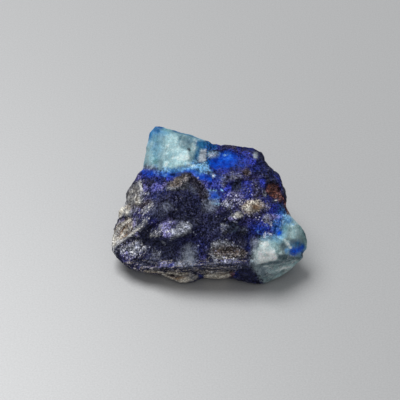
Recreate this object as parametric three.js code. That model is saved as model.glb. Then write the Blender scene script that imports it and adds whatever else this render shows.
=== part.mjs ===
// Afghanite specimen: one hand-sized chip of blue afghanite and lazurite grown together
// with pale, cloudy crystal and dark rock matrix. It grew as one mass, so it is one solid.
//
// Frame: millimetres, +Z up. The origin is the centre of the bounding box in plan, on the
// resting face. +X runs along the longest side and -Y faces the broad broken front.
//
// The stone is described by measured corner points of its broken faces, in four sets:
// the outline ridge that runs round the widest part, the broken front inside that ridge,
// the rear with its lower flanks, and the flat foot that it rests on. The corners are
// joined by the convex hull of their directions from a point inside the stone, which gives
// a closed surface with no self-crossing. Shared edges are turned where the surface then
// breaks less sharply, and every facet is split in four with a small break at each new corner.
import * as THREE from 'three';
import { ConvexHull } from 'three/addons/math/ConvexHull.js';

// Driving dimensions (mm)
const LENGTH = 33.7;            // along X
const DEPTH = 25.7;             // along Y
const HEIGHT = 16.7;            // along Z
const BREAK = 0.055;            // break height at a new corner, as a share of its edge
const BREAK_LIMIT = 0.16;       // most that a new corner stands proud or sunk (mm)
const HEART = [-0.05, -1.05, 6];      // a point inside the stone that sees every facet
const HEART_SPAN = [17, 12, 8.5];     // half sizes used to even out the directions

// Corner points of the broken faces (mm), at the dimensions above.
// Outline ridge: from the top left peak, along the crest, down the right end,
// along the front toe and back up the left end.
const RIM = [
  [-9.34, 9.69, 16.6], [-8.47, 9.48, 16.7], [-7.3, 9.09, 16.6], [-6.25, 8.79, 16.5], [-4.68, 8.25, 16.3],
  [-3.08, 7.75, 16.1], [-1.9, 7.38, 15.8], [-0.41, 6.97, 15.5], [1.31, 6.29, 15.2], [2.26, 6.45, 15.1],
  [3.5, 6.61, 15], [5.45, 6.58, 14.7], [7.14, 6.31, 14.5], [8.63, 6.12, 14.2], [9.48, 5.58, 13.8],
  [9.95, 4.45, 13.2], [11, 3.04, 12.7], [12.19, 1.98, 12.2], [12.64, 0.74, 11.7], [12.86, -0.37, 11.1],
  [13.43, -1.72, 10.4], [13.41, -2.57, 9.9], [13.27, -3.43, 9.4], [13.72, -4.45, 8.9], [14.67, -5.2, 8.3],
  [15.65, -5.88, 7.6], [16.48, -6.83, 6.7], [16.85, -7.77, 5.6], [16.74, -8.56, 4.7], [15.99, -9.33, 4.4],
  [16.12, -9.78, 3.9], [14.94, -10.3, 2.7], [14.13, -10.75, 2], [13.28, -11.18, 1.5], [12.15, -11.65, 1],
  [11.12, -12.07, 0.7], [10, -12.48, 0.4], [8.95, -12.78, 0.25], [7.69, -12.69, 0.25], [6.54, -12.51, 0.3],
  [5.47, -12.19, 0.4], [4.39, -11.82, 0.6], [2.96, -11.59, 0.7], [1.28, -11.73, 0.5], [-0.66, -11.66, 0.6],
  [-2.1, -11.96, 0.4], [-3.27, -12.28, 0.3], [-4.26, -12.47, 0.25], [-5.15, -12.33, 0.3],
  [-5.94, -12.05, 0.5], [-7.64, -11.3, 1.1], [-9.08, -11.12, 1.2], [-10.3, -11.09, 1.2], [-11.48, -11, 1.3],
  [-13.17, -10.46, 1.6], [-14.89, -9.51, 2], [-16.11, -8.59, 2.6], [-16.85, -7.6, 3.3], [-16.83, -6.65, 3.7],
  [-16.81, -5.13, 4.2], [-16.46, -3.98, 5.1], [-15.74, -2.66, 6.2], [-15.88, -1.55, 6.8],
  [-14.54, -0.53, 7.5], [-14.44, 1.13, 8.6], [-13.22, 2.49, 10], [-12.37, 3.58, 11], [-11.51, 4.02, 11.6],
  [-11.16, 5.84, 12.9], [-10.95, 6.99, 13.8], [-10.69, 7.96, 14.6], [-10.43, 8.84, 15.8],
];

// Broken front, inside the outline ridge: crystal blocks, ledges, hollows and the
// overhanging lip above the toe.
const FRONT = [
  [-9.38, 8.33, 16.11], [-10.26, 6.69, 14.32], [-7.63, 7.53, 16.14], [-5.36, 6.61, 16.03],
  [-3.45, 5.52, 15.63], [-8.48, 5.75, 14.95], [-6.2, 4.27, 15.38], [-3.78, 3.2, 15.43], [-10.23, 4.64, 13.14],
  [-7.92, 2.9, 14.3], [-5.31, 1.84, 15.06], [-3.26, 1.95, 14.96], [-2.59, 6.05, 15.38], [-2.24, 4.15, 14.78],
  [-10.2, 2.85, 12.45], [-8.42, 1.21, 13.3], [-6.34, 0.74, 14.22], [-4.28, 0.67, 14.53], [-2.07, 1.11, 14.58],
  [-0.36, 0.85, 14.36], [1.03, 3.79, 14.41], [2.77, 4.62, 14.34], [3.27, 2.91, 13.82], [5.35, 3.68, 14.04],
  [1.36, 1.97, 13.99], [4.96, 1.45, 13.78], [2.71, -0.47, 13.73], [4.42, 0.21, 14.02], [6.31, 0.88, 14.09],
  [8.06, 1.9, 13.82], [3.9, -1.52, 12.85], [5.26, -1.75, 12.6], [2.87, -2.05, 12.89], [6.96, -1.4, 12.97],
  [8.35, -0.58, 12.89], [6.93, -3.19, 12.35], [9, -2.02, 12.39], [-1.55, 5.45, 15.22], [-1.04, 3.31, 14.86],
  [0.52, 4.9, 15.02], [2.77, 5.51, 14.93], [5.37, 5.11, 14.59], [7.45, 4.99, 14.47], [8.47, 4.09, 14.13],
  [7.05, 2.86, 14.1], [8.96, 2.92, 13.57], [10.14, 1.69, 13.08], [10.78, -0.22, 12.54], [10.43, -1.02, 11.88],
  [11.1, -1.96, 11.12], [11.95, -3.05, 10.28], [11.97, -1.51, 11.4], [12.82, -2.65, 10.37],
  [9.52, -1.97, 12.34], [9.83, -3.47, 11.67], [10.85, -4.22, 10.98], [12.24, -4.53, 9.84], [11.5, 0.37, 12.2],
  [-7.34, -2.11, 12.71], [-8.86, -3.59, 11.55], [-10.05, -4.79, 10.1], [-11.6, -6.39, 8.08],
  [-8.38, -1.19, 12.52], [-9.92, -2.49, 10.93], [-11.13, -3.49, 9.51], [-10.64, -1.04, 11.42],
  [-11.33, -1.83, 10.27], [-9.44, 0.26, 12.54], [-7.18, -1.2, 13.02], [-5.65, -0.06, 13.81],
  [-3.77, 0.06, 14.17], [-5.62, -2.64, 13.24], [-3.93, -1.75, 13.79], [-2.57, -0.74, 13.99],
  [-6.63, -3.84, 12.28], [-4.6, -3.94, 12.61], [-2.57, -3.23, 13.11], [-7.82, -5.29, 10.85],
  [-5.27, -5.92, 11.01], [-2.9, -5.36, 11.65], [-1.55, -2.05, 13.37], [-1.05, -3.7, 12.37],
  [-0.03, -3.33, 12.24], [0.65, -4.65, 11.41], [-0.54, -5.39, 10.95], [1.16, -2.43, 12.79],
  [-0.36, -0.83, 13.61], [1.17, -0.28, 13.78], [-9.53, -6.1, 9.25], [-7.99, -6.74, 9.43],
  [-6.46, -6.31, 10.2], [-4.93, -7, 9.94], [-3.24, -7.07, 10.02], [-10.38, -7.75, 7.79], [-8.65, -8.56, 8.15],
  [-6.95, -9.26, 8.15], [-5.09, -9.07, 8.69], [-3.24, -8.63, 9.2], [-2.06, -7.7, 9.46], [-10.57, -8.15, 6.48],
  [-8.69, -8.64, 6.51], [-6.98, -9.2, 6.36], [-4.94, -9.07, 6.96], [-3.07, -8.84, 7.71], [-1.55, -8.43, 8.51],
  [-12.31, -7.4, 6.18], [-13.19, -7.75, 5.05], [-10.92, -9.03, 5.43], [-9.02, -10.02, 5.25],
  [-6.98, -10.46, 5.48], [-4.6, -10.52, 6.04], [-2.73, -10.25, 6.75], [-15.3, -7.93, 3.73],
  [-13.88, -8.73, 4.1], [-12.12, -9.63, 4.58], [-14.94, -8.92, 3.04], [-12.82, -10.16, 3.38],
  [-10.57, -10.87, 3.92], [-8.33, -11.47, 4.32], [-6.12, -11.6, 4.72], [-3.75, -11.61, 5.23],
  [-1.55, -11.53, 5.64], [-1.38, -10.18, 7.17], [-15.13, -7.07, 4.57], [-13.53, -6.84, 6.08],
  [-11.94, -6.91, 7.64], [-10.55, -6.46, 8.9], [-15.72, -5.5, 4.41], [-15.74, -4.31, 5.17],
  [-14.67, -5, 5.39], [-14.5, -3.86, 6.45], [-13.39, -5.37, 6.77], [-15.06, -2.48, 6.76],
  [-14.01, -2.09, 7.6], [-12.68, -4.65, 8.25], [-13.13, -1.39, 8.62], [-13.52, 0.2, 8.99],
  [-12.62, 0.29, 10.11], [-12.1, 1.45, 11.15], [-11.82, -3.96, 9.01], [-12.39, -2.32, 9.06],
  [-0.71, -6.85, 10.03], [0.13, -8.2, 8.99], [-0.2, -9.5, 7.92], [0.98, -6.1, 10.71], [2.16, -7.26, 9.97],
  [2.17, -5.02, 11.54], [2.85, -3.83, 12.27], [4.19, -5.87, 11.2], [4.86, -6.95, 10.38], [3.51, -7.98, 9.02],
  [5.37, -8.08, 8.87], [4.52, -9.3, 7.95], [1.82, -9.1, 8.48], [0.97, -10.48, 7.24], [2.83, -10.27, 7.51],
  [2.16, -11.19, 6.28], [4.35, -10.69, 6.73], [4.18, -11.84, 5.73], [6.03, -11.34, 6.19], [6.37, -9.82, 7.52],
  [6.88, -8.92, 8.53], [0.47, -11.75, 5.88], [6.22, -5.24, 11.53], [7.92, -4.66, 11.66], [9.11, -5.2, 11],
  [7.4, -5.96, 10.81], [6.72, -7, 9.94], [8.59, -6.74, 9.91], [9.78, -6.55, 9.97], [10.49, -5.23, 10.3],
  [11.33, -6.36, 9.52], [8.23, -8.14, 9.18], [9.93, -8.14, 8.93], [8.9, -9.31, 8.21], [4.88, -3.95, 12.15],
  [12.69, -6.42, 9.35], [13.89, -6.87, 8.58], [14.92, -7.72, 7.51], [12.81, -8.46, 8.29],
  [11.43, -9.43, 8.09], [13.66, -9.49, 7.16], [15.64, -8.48, 6.09], [14.93, -9.72, 5.42],
  [13.66, -10.58, 6.11], [12.08, -10.68, 7.21], [10.22, -10.16, 7.88], [8.87, -10.79, 7.57],
  [7.87, -11.45, 6.55], [9.53, -11.6, 6.97], [10.88, -11.56, 6.92], [7.38, -12.18, 5.35],
  [8.87, -12.37, 5.82], [10.21, -12.3, 5.99], [11.4, -12.1, 6.02], [12.81, -11.61, 5.23],
  [14.23, -10.79, 4.58], [15.49, -9.95, 4.17], [8.92, -12.51, 4.21], [10.33, -12.16, 3.32],
  [11.86, -11.72, 3.59], [13.43, -11.08, 3.39], [10.04, -12.36, 1.76], [11.6, -11.75, 1.83],
  [-11.81, -10.89, 2.28], [-9.74, -11.42, 2.62], [-7.49, -12.02, 3.41], [-5.27, -12.54, 4.25],
  [-2.9, -12.52, 4.48], [-0.71, -12.75, 4.98], [1.48, -12.59, 5.07], [3.83, -12.7, 5.43], [5.85, -12.45, 5.4],
  [-6.68, -11.72, 1.81], [-4.61, -12.42, 2.33], [-2.4, -12.13, 2.26], [-0.53, -12.15, 2.8],
  [1.51, -12.11, 2.76], [3.37, -12.23, 3.14], [5.22, -12.52, 3.46], [7.07, -12.86, 3.84],
  [8.44, -12.85, 3.07], [6.11, -12.56, 1.98], [7.81, -12.82, 1.77],
];

// Rear face and the lower flanks, under the outline ridge.
const REAR = [
  [-10.15, 10.56, 12.5], [-7.75, 10.96, 14.2], [-5.55, 11.16, 12.8], [-3.05, 9.86, 13.6], [-1.05, 9.96, 12.2],
  [1.45, 8.86, 12.5], [3.45, 9.26, 11.6], [6.45, 8.26, 12.4], [8.25, 8.16, 10.5], [10.35, 5.16, 10.5],
  [11.45, 4.36, 9], [12.75, 0.16, 7.8], [-11.15, 7.96, 10.9], [-11.55, 7.36, 8.8], [-13.05, 4.36, 8],
  [-14.45, 2.16, 6.3], [-15.15, -1.24, 5], [-12.75, 6.76, 5.9], [-10.85, 9.76, 6.9], [-8.75, 11.46, 8.6],
  [-6.95, 12.16, 6.2], [-4.15, 12.16, 9], [-2.75, 12.86, 5.6], [0.25, 11.46, 8.2], [1.05, 12.36, 5.2],
  [4.05, 10.76, 7.6], [5.25, 11.16, 4.6], [7.45, 9.56, 6.8], [9.25, 8.76, 4.2], [10.85, 6.36, 6],
  [12.25, 4.16, 4], [13.15, 1.36, 5.6], [13.65, -1.24, 4], [14.85, -4.24, 5.2], [15.85, -6.64, 3.8],
  [-15.75, -3.24, 2.9], [-14.45, 0.76, 3.2], [-13.55, 3.96, 2.6], [-11.75, 7.36, 2.9], [-9.75, 9.96, 3.2],
  [-7.15, 11.56, 2], [-3.95, 12.56, 2.8], [-0.95, 12.46, 1.6], [2.25, 12.16, 2.3], [5.05, 11.26, 1.3],
  [7.85, 9.86, 2], [10.25, 7.36, 1.2], [12.05, 4.36, 1.8], [12.65, 1.16, 1.2], [13.45, -2.24, 1.9],
  [14.75, -5.24, 1.6], [15.35, -7.84, 2.4], [13.65, -9.34, 1.2], [11.65, -10.74, 0.7], [-15.85, -5.64, 1.5],
  [-14.55, -7.64, 0.9], [-12.55, -9.34, 0.6], [-10.15, -10.54, 0.6], [-9.1, 9.97, 15.83],
  [-7.04, 9.28, 15.73], [-6.12, 9.08, 15.81], [-4.52, 8.88, 15.07], [-2.98, 8.1, 15.17], [-1.84, 7.93, 14.77],
  [-0.38, 7.14, 14.61], [1.26, 6.79, 14.11], [2.18, 7.02, 13.93], [3.4, 7.34, 13.83], [5.26, 7.05, 13.71],
  [6.88, 6.69, 13.61], [8.3, 6.43, 13.35], [9.26, 6.32, 12.76], [9.67, 4.98, 12.35], [10.54, 3.34, 12],
  [11.9, 2.56, 11.44], [12.33, 1.46, 10.83], [12.53, 0.48, 10.14], [13.1, -1.27, 9.9], [13, -1.96, 9.26],
  [12.79, -2.51, 8.5], [13.45, -3.8, 8.29], [14.11, -4.59, 7.83], [15.18, -5.12, 6.98], [16.21, -6.29, 6.27],
  [16.43, -6.78, 4.83], [16.4, -7.85, 4.19], [15.71, -8.73, 4], [14.68, -9.49, 2.13], [-15.82, -7.65, 1.89],
  [-16.44, -6.98, 2.94], [-16.57, -5.68, 2.87], [-16.5, -4.21, 3.41], [-16.19, -3.43, 4.64],
  [-15.25, -2.01, 5.64], [-15.36, -0.82, 6.12], [-14.18, 0.03, 6.93], [-13.89, 1.66, 7.95],
  [-12.87, 3.33, 8.99], [-12.04, 4.15, 10.22], [-11.27, 4.75, 10.67], [-10.85, 6.16, 12.24],
  [-10.56, 7.33, 12.97], [-10.39, 8.56, 13.55], [-10.13, 9.36, 14.75],
];

// Flat foot at Z = 0: its edge, then a few corners inside it.
const FOOT = [
  [-13.15, -3.84, 0], [-13.55, -0.44, 0], [-12.55, 3.56, 0], [-10.45, 6.96, 0], [-7.75, 9.56, 0],
  [-4.35, 10.96, 0], [-0.55, 11.16, 0], [3.25, 10.56, 0], [6.65, 8.96, 0], [9.35, 6.16, 0], [10.85, 2.76, 0],
  [11.65, -1.04, 0], [12.45, -4.64, 0], [12.05, -7.64, 0], [10.25, -10.04, 0], [7.25, -11.54, 0],
  [3.85, -10.94, 0], [0.65, -10.64, 0], [-2.35, -10.94, 0], [-5.35, -11.14, 0], [-8.15, -10.04, 0],
  [-10.95, -8.24, 0], [-12.55, -6.24, 0], [-5.15, -7.04, 0], [2.95, -7.24, 0], [-9.55, -0.64, 0],
  [-5.55, -2.04, 0], [-1.55, -2.24, 0], [7.75, -3.24, 0], [-7.95, 3.76, 0], [5.25, 2.16, 0], [-5.15, 6.96, 0],
  [-0.75, 6.96, 0], [3.45, 6.36, 0], [7.45, 3.86, 0],
];

const corners = [...RIM, ...FRONT, ...REAR, ...FOOT];

// Scale the corner set so that its box is exactly the driving dimensions.
function fitToDimensions(points) {
  const low = [Infinity, Infinity, Infinity];
  const high = [-Infinity, -Infinity, -Infinity];
  for (const p of points) {
    for (let k = 0; k < 3; k++) {
      low[k] = Math.min(low[k], p[k]);
      high[k] = Math.max(high[k], p[k]);
    }
  }
  const size = [LENGTH, DEPTH, HEIGHT];
  const middle = [(low[0] + high[0]) / 2, (low[1] + high[1]) / 2, low[2]];
  return points.map((p) => p.map((v, k) => (v - middle[k]) * size[k] / (high[k] - low[k])));
}

// Facets over the corners: the hull of the directions in which they are seen.
function facetsOver(points) {
  const indexOf = new Map();
  const directions = points.map((p, i) => {
    const d = new THREE.Vector3(
      (p[0] - HEART[0]) / HEART_SPAN[0],
      (p[1] - HEART[1]) / HEART_SPAN[1],
      (p[2] - HEART[2]) / HEART_SPAN[2],
    ).normalize();
    indexOf.set(d, i);
    return d;
  });
  const hull = new ConvexHull().setFromPoints(directions);
  const facets = [];
  for (const face of hull.faces) {
    const loop = [];
    let edge = face.edge;
    do {
      loop.push(indexOf.get(edge.head().point));
      edge = edge.next;
    } while (edge !== face.edge);
    for (let k = 1; k + 1 < loop.length; k++) facets.push([loop[0], loop[k], loop[k + 1]]);
  }
  return facets;
}

// Turn the shared edge of two facets where that makes the surface break less sharply.
// A turned pair still faces away from the heart, so the surface never crosses itself.
function settleEdges(points, facets) {
  const at = points.map((p) => new THREE.Vector3(...p));
  const heart = new THREE.Vector3(...HEART);
  const normalOf = (a, b, c) => new THREE.Vector3().subVectors(at[b], at[a])
    .cross(new THREE.Vector3().subVectors(at[c], at[a]));
  const facesOut = (a, b, c) => {
    const n = normalOf(a, b, c);
    const twiceArea = n.length();
    if (twiceArea < 0.1) return false;
    const out = new THREE.Vector3().subVectors(at[a], heart);
    return n.dot(out) / twiceArea > 0.25;
  };
  const bend = (f, g, a, b) => normalOf(...f).angleTo(normalOf(...g)) ** 1.6 * at[a].distanceTo(at[b]);
  const sliver = (a, b, c) => {
    const ab = at[a].distanceToSquared(at[b]);
    const bc = at[b].distanceToSquared(at[c]);
    const ca = at[c].distanceToSquared(at[a]);
    return (ab + bc + ca) / (normalOf(a, b, c).length() + 1e-6);
  };
  for (let round = 0; round < 30; round++) {
    const owners = new Map();
    facets.forEach((f, i) => f.forEach((a, k) => owners.set(`${a}_${f[(k + 1) % 3]}`, i)));
    const touched = new Set();
    let turned = 0;
    for (const key of [...owners.keys()].sort()) {
      const [a, b] = key.split('_').map(Number);
      if (a > b) continue;
      const i = owners.get(`${a}_${b}`);
      const j = owners.get(`${b}_${a}`);
      if (touched.has(i) || touched.has(j)) continue;
      const c = facets[i].find((v) => v !== a && v !== b);
      const d = facets[j].find((v) => v !== a && v !== b);
      if (owners.has(`${c}_${d}`) || owners.has(`${d}_${c}`)) continue;
      if (!facesOut(a, d, c) || !facesOut(d, b, c)) continue;
      const ring = [[b, c, i], [c, a, i], [a, d, j], [d, b, j]];
      const around = ring.map(([p, q]) => owners.get(`${q}_${p}`));
      if (around.some((n) => touched.has(n))) continue;
      let before = bend(facets[i], facets[j], a, b) + 0.12 * (sliver(a, b, c) + sliver(b, a, d));
      let after = bend([a, d, c], [d, b, c], c, d) + 0.12 * (sliver(a, d, c) + sliver(d, b, c));
      ring.forEach(([p, q, own], k) => {
        const beyond = facets[around[k]];
        before += bend(facets[own], beyond, p, q);
        after += bend(p === b || q === b ? [d, b, c] : [a, d, c], beyond, p, q);
      });
      if (after < before - 1e-6) {
        facets[i] = [a, d, c];
        facets[j] = [d, b, c];
        [i, j, ...around].forEach((n) => touched.add(n));
        turned++;
      }
    }
    if (!turned) break;
  }
  return facets;
}

// Repeatable value from -1 to 1 for a place in the stone.
function scatter(x, y, z) {
  const s = Math.sin(x * 12.9898 + y * 78.233 + z * 37.719) * 43758.5453;
  return 2 * (s - Math.floor(s)) - 1;
}

// Split every facet in four. A new corner moves along its own direction from the heart,
// never past the stone's box and never on the foot, which stays flat.
function splitFacets(points, facets) {
  const half = [LENGTH / 2, DEPTH / 2];
  const cornerOn = new Map();
  const between = (a, b) => {
    const key = a < b ? `${a}_${b}` : `${b}_${a}`;
    if (cornerOn.has(key)) return cornerOn.get(key);
    const p = points[a];
    const q = points[b];
    const m = p.map((v, k) => (v + q[k]) / 2);
    if (!(p[2] === 0 && q[2] === 0)) {
      const reach = Math.hypot(p[0] - q[0], p[1] - q[1], p[2] - q[2]);
      const out = m.map((v, k) => v - HEART[k]);
      const far = Math.hypot(...out);
      let move = scatter(m[0], m[1], m[2]) * BREAK * reach;
      move = Math.max(-BREAK_LIMIT, Math.min(BREAK_LIMIT, move));
      const moved = m.map((v, k) => v + out[k] / far * move);
      const inside = Math.abs(moved[0]) <= half[0] && Math.abs(moved[1]) <= half[1]
        && moved[2] <= HEIGHT && moved[2] >= 0.4 * m[2];
      if (inside) m.splice(0, 3, ...moved);
    }
    points.push(m);
    cornerOn.set(key, points.length - 1);
    return points.length - 1;
  };
  const finer = [];
  for (const [a, b, c] of facets) {
    const ab = between(a, b);
    const bc = between(b, c);
    const ca = between(c, a);
    finer.push([a, ab, ca], [ab, b, bc], [ca, bc, c], [ab, bc, ca]);
  }
  return finer;
}

const points = fitToDimensions(corners);
const facets = splitFacets(points, settleEdges(points, facetsOver(points)));

const stoneShape = new THREE.BufferGeometry();
stoneShape.setAttribute('position', new THREE.Float32BufferAttribute(points.flat(), 3));
stoneShape.setIndex(facets.flat());
stoneShape.computeVertexNormals();

const stoneFinish = new THREE.MeshStandardMaterial({
  color: 0x2a357c, // deep lazurite blue, the mass of the stone
  roughness: 0.55,
  metalness: 0,
});

const stone = new THREE.Mesh(stoneShape, stoneFinish);
stone.name = 'afghanite_specimen';

const specimen = new THREE.Group();
specimen.name = 'specimen';
specimen.add(stone);

export default specimen;
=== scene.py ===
import math

import bpy
import numpy as np
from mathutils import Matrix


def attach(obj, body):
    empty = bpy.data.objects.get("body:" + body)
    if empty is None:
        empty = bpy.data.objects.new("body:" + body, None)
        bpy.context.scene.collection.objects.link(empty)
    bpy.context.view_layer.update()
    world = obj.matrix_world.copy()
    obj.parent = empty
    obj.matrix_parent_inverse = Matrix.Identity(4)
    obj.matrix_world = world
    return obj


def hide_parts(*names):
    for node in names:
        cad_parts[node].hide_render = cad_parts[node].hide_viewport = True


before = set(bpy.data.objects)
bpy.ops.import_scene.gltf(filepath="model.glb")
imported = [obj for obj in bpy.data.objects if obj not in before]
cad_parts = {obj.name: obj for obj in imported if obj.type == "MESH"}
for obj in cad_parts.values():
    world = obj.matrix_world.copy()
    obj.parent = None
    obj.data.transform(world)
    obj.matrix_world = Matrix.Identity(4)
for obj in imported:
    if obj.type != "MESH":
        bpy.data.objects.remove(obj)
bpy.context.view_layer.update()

NODE = "afghanite_specimen"

# ---------------------------------------------------------------------------
# Repeatable noise, all in millimetres of the stone
# ---------------------------------------------------------------------------


def hashed(i, j, k, seed):
    """A repeatable value from 0 to 1 for each whole-number place."""
    h = (i.astype(np.int64) * 73856093) ^ (j.astype(np.int64) * 19349663) ^ (k.astype(np.int64) * 83492791)
    h = (h ^ (seed * 668265263)).astype(np.uint64) & np.uint64(0xFFFFFFFF)
    h = h.astype(np.uint32)
    h ^= h >> np.uint32(16)
    h *= np.uint32(0x7FEB352D)
    h ^= h >> np.uint32(15)
    h *= np.uint32(0x846CA68B)
    h ^= h >> np.uint32(16)
    return h.astype(np.float64) / 4294967296.0


def noise(p, seed):
    """Gradient noise, about -1 to 1, one feature per unit."""
    f = np.floor(p)
    t = p - f
    i = f.astype(np.int64)
    u = t * t * t * (t * (t * 6 - 15) + 10)
    out = np.zeros(len(p))
    for dx in (0, 1):
        for dy in (0, 1):
            for dz in (0, 1):
                a, b, c = i[:, 0] + dx, i[:, 1] + dy, i[:, 2] + dz
                g = [hashed(a, b, c, seed * 7 + n) * 2 - 1 for n in (1, 2, 3)]
                d = g[0] * (t[:, 0] - dx) + g[1] * (t[:, 1] - dy) + g[2] * (t[:, 2] - dz)
                w = (u[:, 0] if dx else 1 - u[:, 0]) * (u[:, 1] if dy else 1 - u[:, 1]) * (u[:, 2] if dz else 1 - u[:, 2])
                out += w * d
    return out * 1.7


def fbm(p, octaves, seed, gain=0.5):
    total, amp, norm = np.zeros(len(p)), 1.0, 0.0
    for o in range(octaves):
        total += amp * noise(p * (2.03 ** o) + 17.3 * o, seed + o)
        norm += amp
        amp *= gain
    return total / norm


def cells(p, size, seed, jitter=0.9):
    """The two nearest grains: their distances in grain sizes, random values and offsets."""
    q = p / size
    base = np.floor(q).astype(np.int64)
    n = len(p)
    f = [np.full(n, 9.0), np.full(n, 9.0)]
    own = [np.zeros((n, 3), np.int64), np.zeros((n, 3), np.int64)]
    vec = [np.zeros((n, 3)), np.zeros((n, 3))]
    for dx in (-1, 0, 1):
        for dy in (-1, 0, 1):
            for dz in (-1, 0, 1):
                c = base + np.array([dx, dy, dz])
                s = np.stack([c[:, k] + 0.5 + jitter * (hashed(c[:, 0], c[:, 1], c[:, 2], seed * 11 + k) - 0.5) for k in range(3)], 1)
                v = q - s
                d = np.sqrt((v * v).sum(1))
                first = d < f[0]
                second = ~first & (d < f[1])
                for x in (f, own, vec):
                    x[1][first] = x[0][first]
                f[0][first], own[0][first], vec[0][first] = d[first], c[first], v[first]
                f[1][second], own[1][second], vec[1][second] = d[second], c[second], v[second]
    rnd = [np.stack([hashed(o[:, 0], o[:, 1], o[:, 2], seed * 13 + 5 + k) for k in range(4)], 1) for o in own]
    return f, rnd, [x * size for x in vec]


def chips(p, size, seed, slope, limit, join=0.22):
    """Small flat breaks, each leaning its own way, that meet in short steep steps."""
    f, rnd, vec = cells(p, size, seed)
    plane = [np.clip(((r[:, :3] - 0.5) * d).sum(1) * slope + (r[:, 3] - 0.5) * limit * 0.7, -limit, limit) for r, d in zip(rnd, vec)]
    t = 0.5 + 0.5 * smooth(0, join, f[1] - f[0])
    return t * plane[0] + (1 - t) * plane[1], f


def smooth(lo, hi, x):
    t = np.clip((x - lo) / (hi - lo), 0, 1)
    return t * t * (3 - 2 * t)


# ---------------------------------------------------------------------------
# The stone's surface: the CAD solid's facets, refined until they carry grain
# ---------------------------------------------------------------------------


def solid_of(node):
    """The CAD node's shared corners (mm) and triangles."""
    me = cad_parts[node].data
    me.calc_loop_triangles()
    co = np.zeros(len(me.vertices) * 3)
    me.vertices.foreach_get("co", co)
    co = co.reshape(-1, 3) * 1000
    tri = np.zeros(len(me.loop_triangles) * 3, np.int32)
    me.loop_triangles.foreach_get("vertices", tri)
    key = np.round(co * 2000).astype(np.int64)
    _, first, back = np.unique(key, axis=0, return_index=True, return_inverse=True)
    back = back.reshape(-1)
    order = np.argsort(first)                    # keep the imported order
    rank = np.empty(len(order), np.int64)
    rank[order] = np.arange(len(order))
    tri = rank[back[tri]].reshape(-1, 3)
    tri = tri[(tri[:, 0] != tri[:, 1]) & (tri[:, 1] != tri[:, 2]) & (tri[:, 2] != tri[:, 0])]
    return co[first[order]], tri


def edges_of(tri):
    e = np.concatenate([tri[:, [0, 1]], tri[:, [1, 2]], tri[:, [2, 0]]])
    e.sort(axis=1)
    u, back = np.unique(e[:, 0].astype(np.int64) * 10000000 + e[:, 1], return_inverse=True)
    return np.stack([u // 10000000, u % 10000000], 1), back.reshape(3, -1).T


def refine(v, tri, reach, rounds=12):
    """Splits every edge longer than reach(midpoints), keeping the surface closed."""
    for _ in range(rounds):
        ed, te = edges_of(tri)
        mid = (v[ed[:, 0]] + v[ed[:, 1]]) / 2
        length = np.linalg.norm(v[ed[:, 0]] - v[ed[:, 1]], axis=1)
        cut = length > reach(mid)
        if not cut.any():
            break
        longest = te[np.arange(len(te)), np.argmax(length[te], axis=1)]
        while True:
            some = cut[te].any(axis=1)
            more = some & ~cut[longest]
            if not more.any():
                break
            cut[longest[more]] = True
        new = np.full(len(ed), -1, np.int64)
        new[cut] = len(v) + np.arange(cut.sum())
        v = np.concatenate([v, mid[cut]])
        m = new[te]                      # midpoints of ab, bc, ca
        n = (m >= 0).sum(axis=1)
        out = [tri[n == 0]]
        full = n == 3
        a, b, c = tri[full].T
        ab, bc, ca = m[full].T
        out += [np.stack(x, 1) for x in ((a, ab, ca), (ab, b, bc), (ca, bc, c), (ab, bc, ca))]
        for k in range(3):               # one cut edge, turned to be ab
            s = (n == 1) & (m[:, k] >= 0)
            a, b, c = tri[s][:, k], tri[s][:, (k + 1) % 3], tri[s][:, (k + 2) % 3]
            ab = m[s][:, k]
            out += [np.stack((a, ab, c), 1), np.stack((ab, b, c), 1)]
        for k in range(3):               # two cut edges, turned to be ab and bc
            s = (n == 2) & (m[:, (k + 2) % 3] < 0)
            a, b, c = tri[s][:, k], tri[s][:, (k + 1) % 3], tri[s][:, (k + 2) % 3]
            ab, bc = m[s][:, k], m[s][:, (k + 1) % 3]
            short = np.linalg.norm(v[a] - v[bc], axis=1) < np.linalg.norm(v[ab] - v[c], axis=1)
            out += [np.stack((ab, b, bc), 1)]
            out += [np.stack((a[short], ab[short], bc[short]), 1), np.stack((a[short], bc[short], c[short]), 1)]
            w = ~short
            out += [np.stack((a[w], ab[w], c[w]), 1), np.stack((ab[w], bc[w], c[w]), 1)]
        tri = np.concatenate(out)
    return v, tri


def normals_of(v, tri):
    n = np.cross(v[tri[:, 1]] - v[tri[:, 0]], v[tri[:, 2]] - v[tri[:, 0]])
    out = np.zeros_like(v)
    for k in range(3):
        for d in range(3):
            out[:, d] += np.bincount(tri[:, k], weights=n[:, d], minlength=len(v))
    return out / np.maximum(np.linalg.norm(out, axis=1, keepdims=True), 1e-12)


def averaged(values, ed, count, times):
    """Averages a value over neighbouring corners."""
    deg = np.bincount(ed[:, 0], minlength=count) + np.bincount(ed[:, 1], minlength=count)
    for _ in range(times):
        cols = []
        flat = values.reshape(count, -1)
        for d in range(flat.shape[1]):
            s = np.bincount(ed[:, 0], weights=flat[ed[:, 1], d], minlength=count)
            s += np.bincount(ed[:, 1], weights=flat[ed[:, 0], d], minlength=count)
            cols.append(s / deg)
        values = (0.5 * flat + 0.5 * np.stack(cols, 1)).reshape(values.shape)
    return values


# ---------------------------------------------------------------------------
# The broken front. Its zones are laid out on a sheet tilted 45 degrees, like the
# front itself, in steps of 0.175 mm: a runs right and b runs down the sheet.
# ---------------------------------------------------------------------------

STEP = 0.175
SHEET = np.array([-1.553, 0.957, 7.0])           # the sheet's middle (mm), at a = b = 200
TILT = math.radians(45.0)
OUT = np.array([0.0, -math.cos(TILT), math.sin(TILT)])
UP = np.array([0.0, math.sin(TILT), math.cos(TILT)])
FAR = 220.0                                      # the sheet's lines meet this far out


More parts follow.
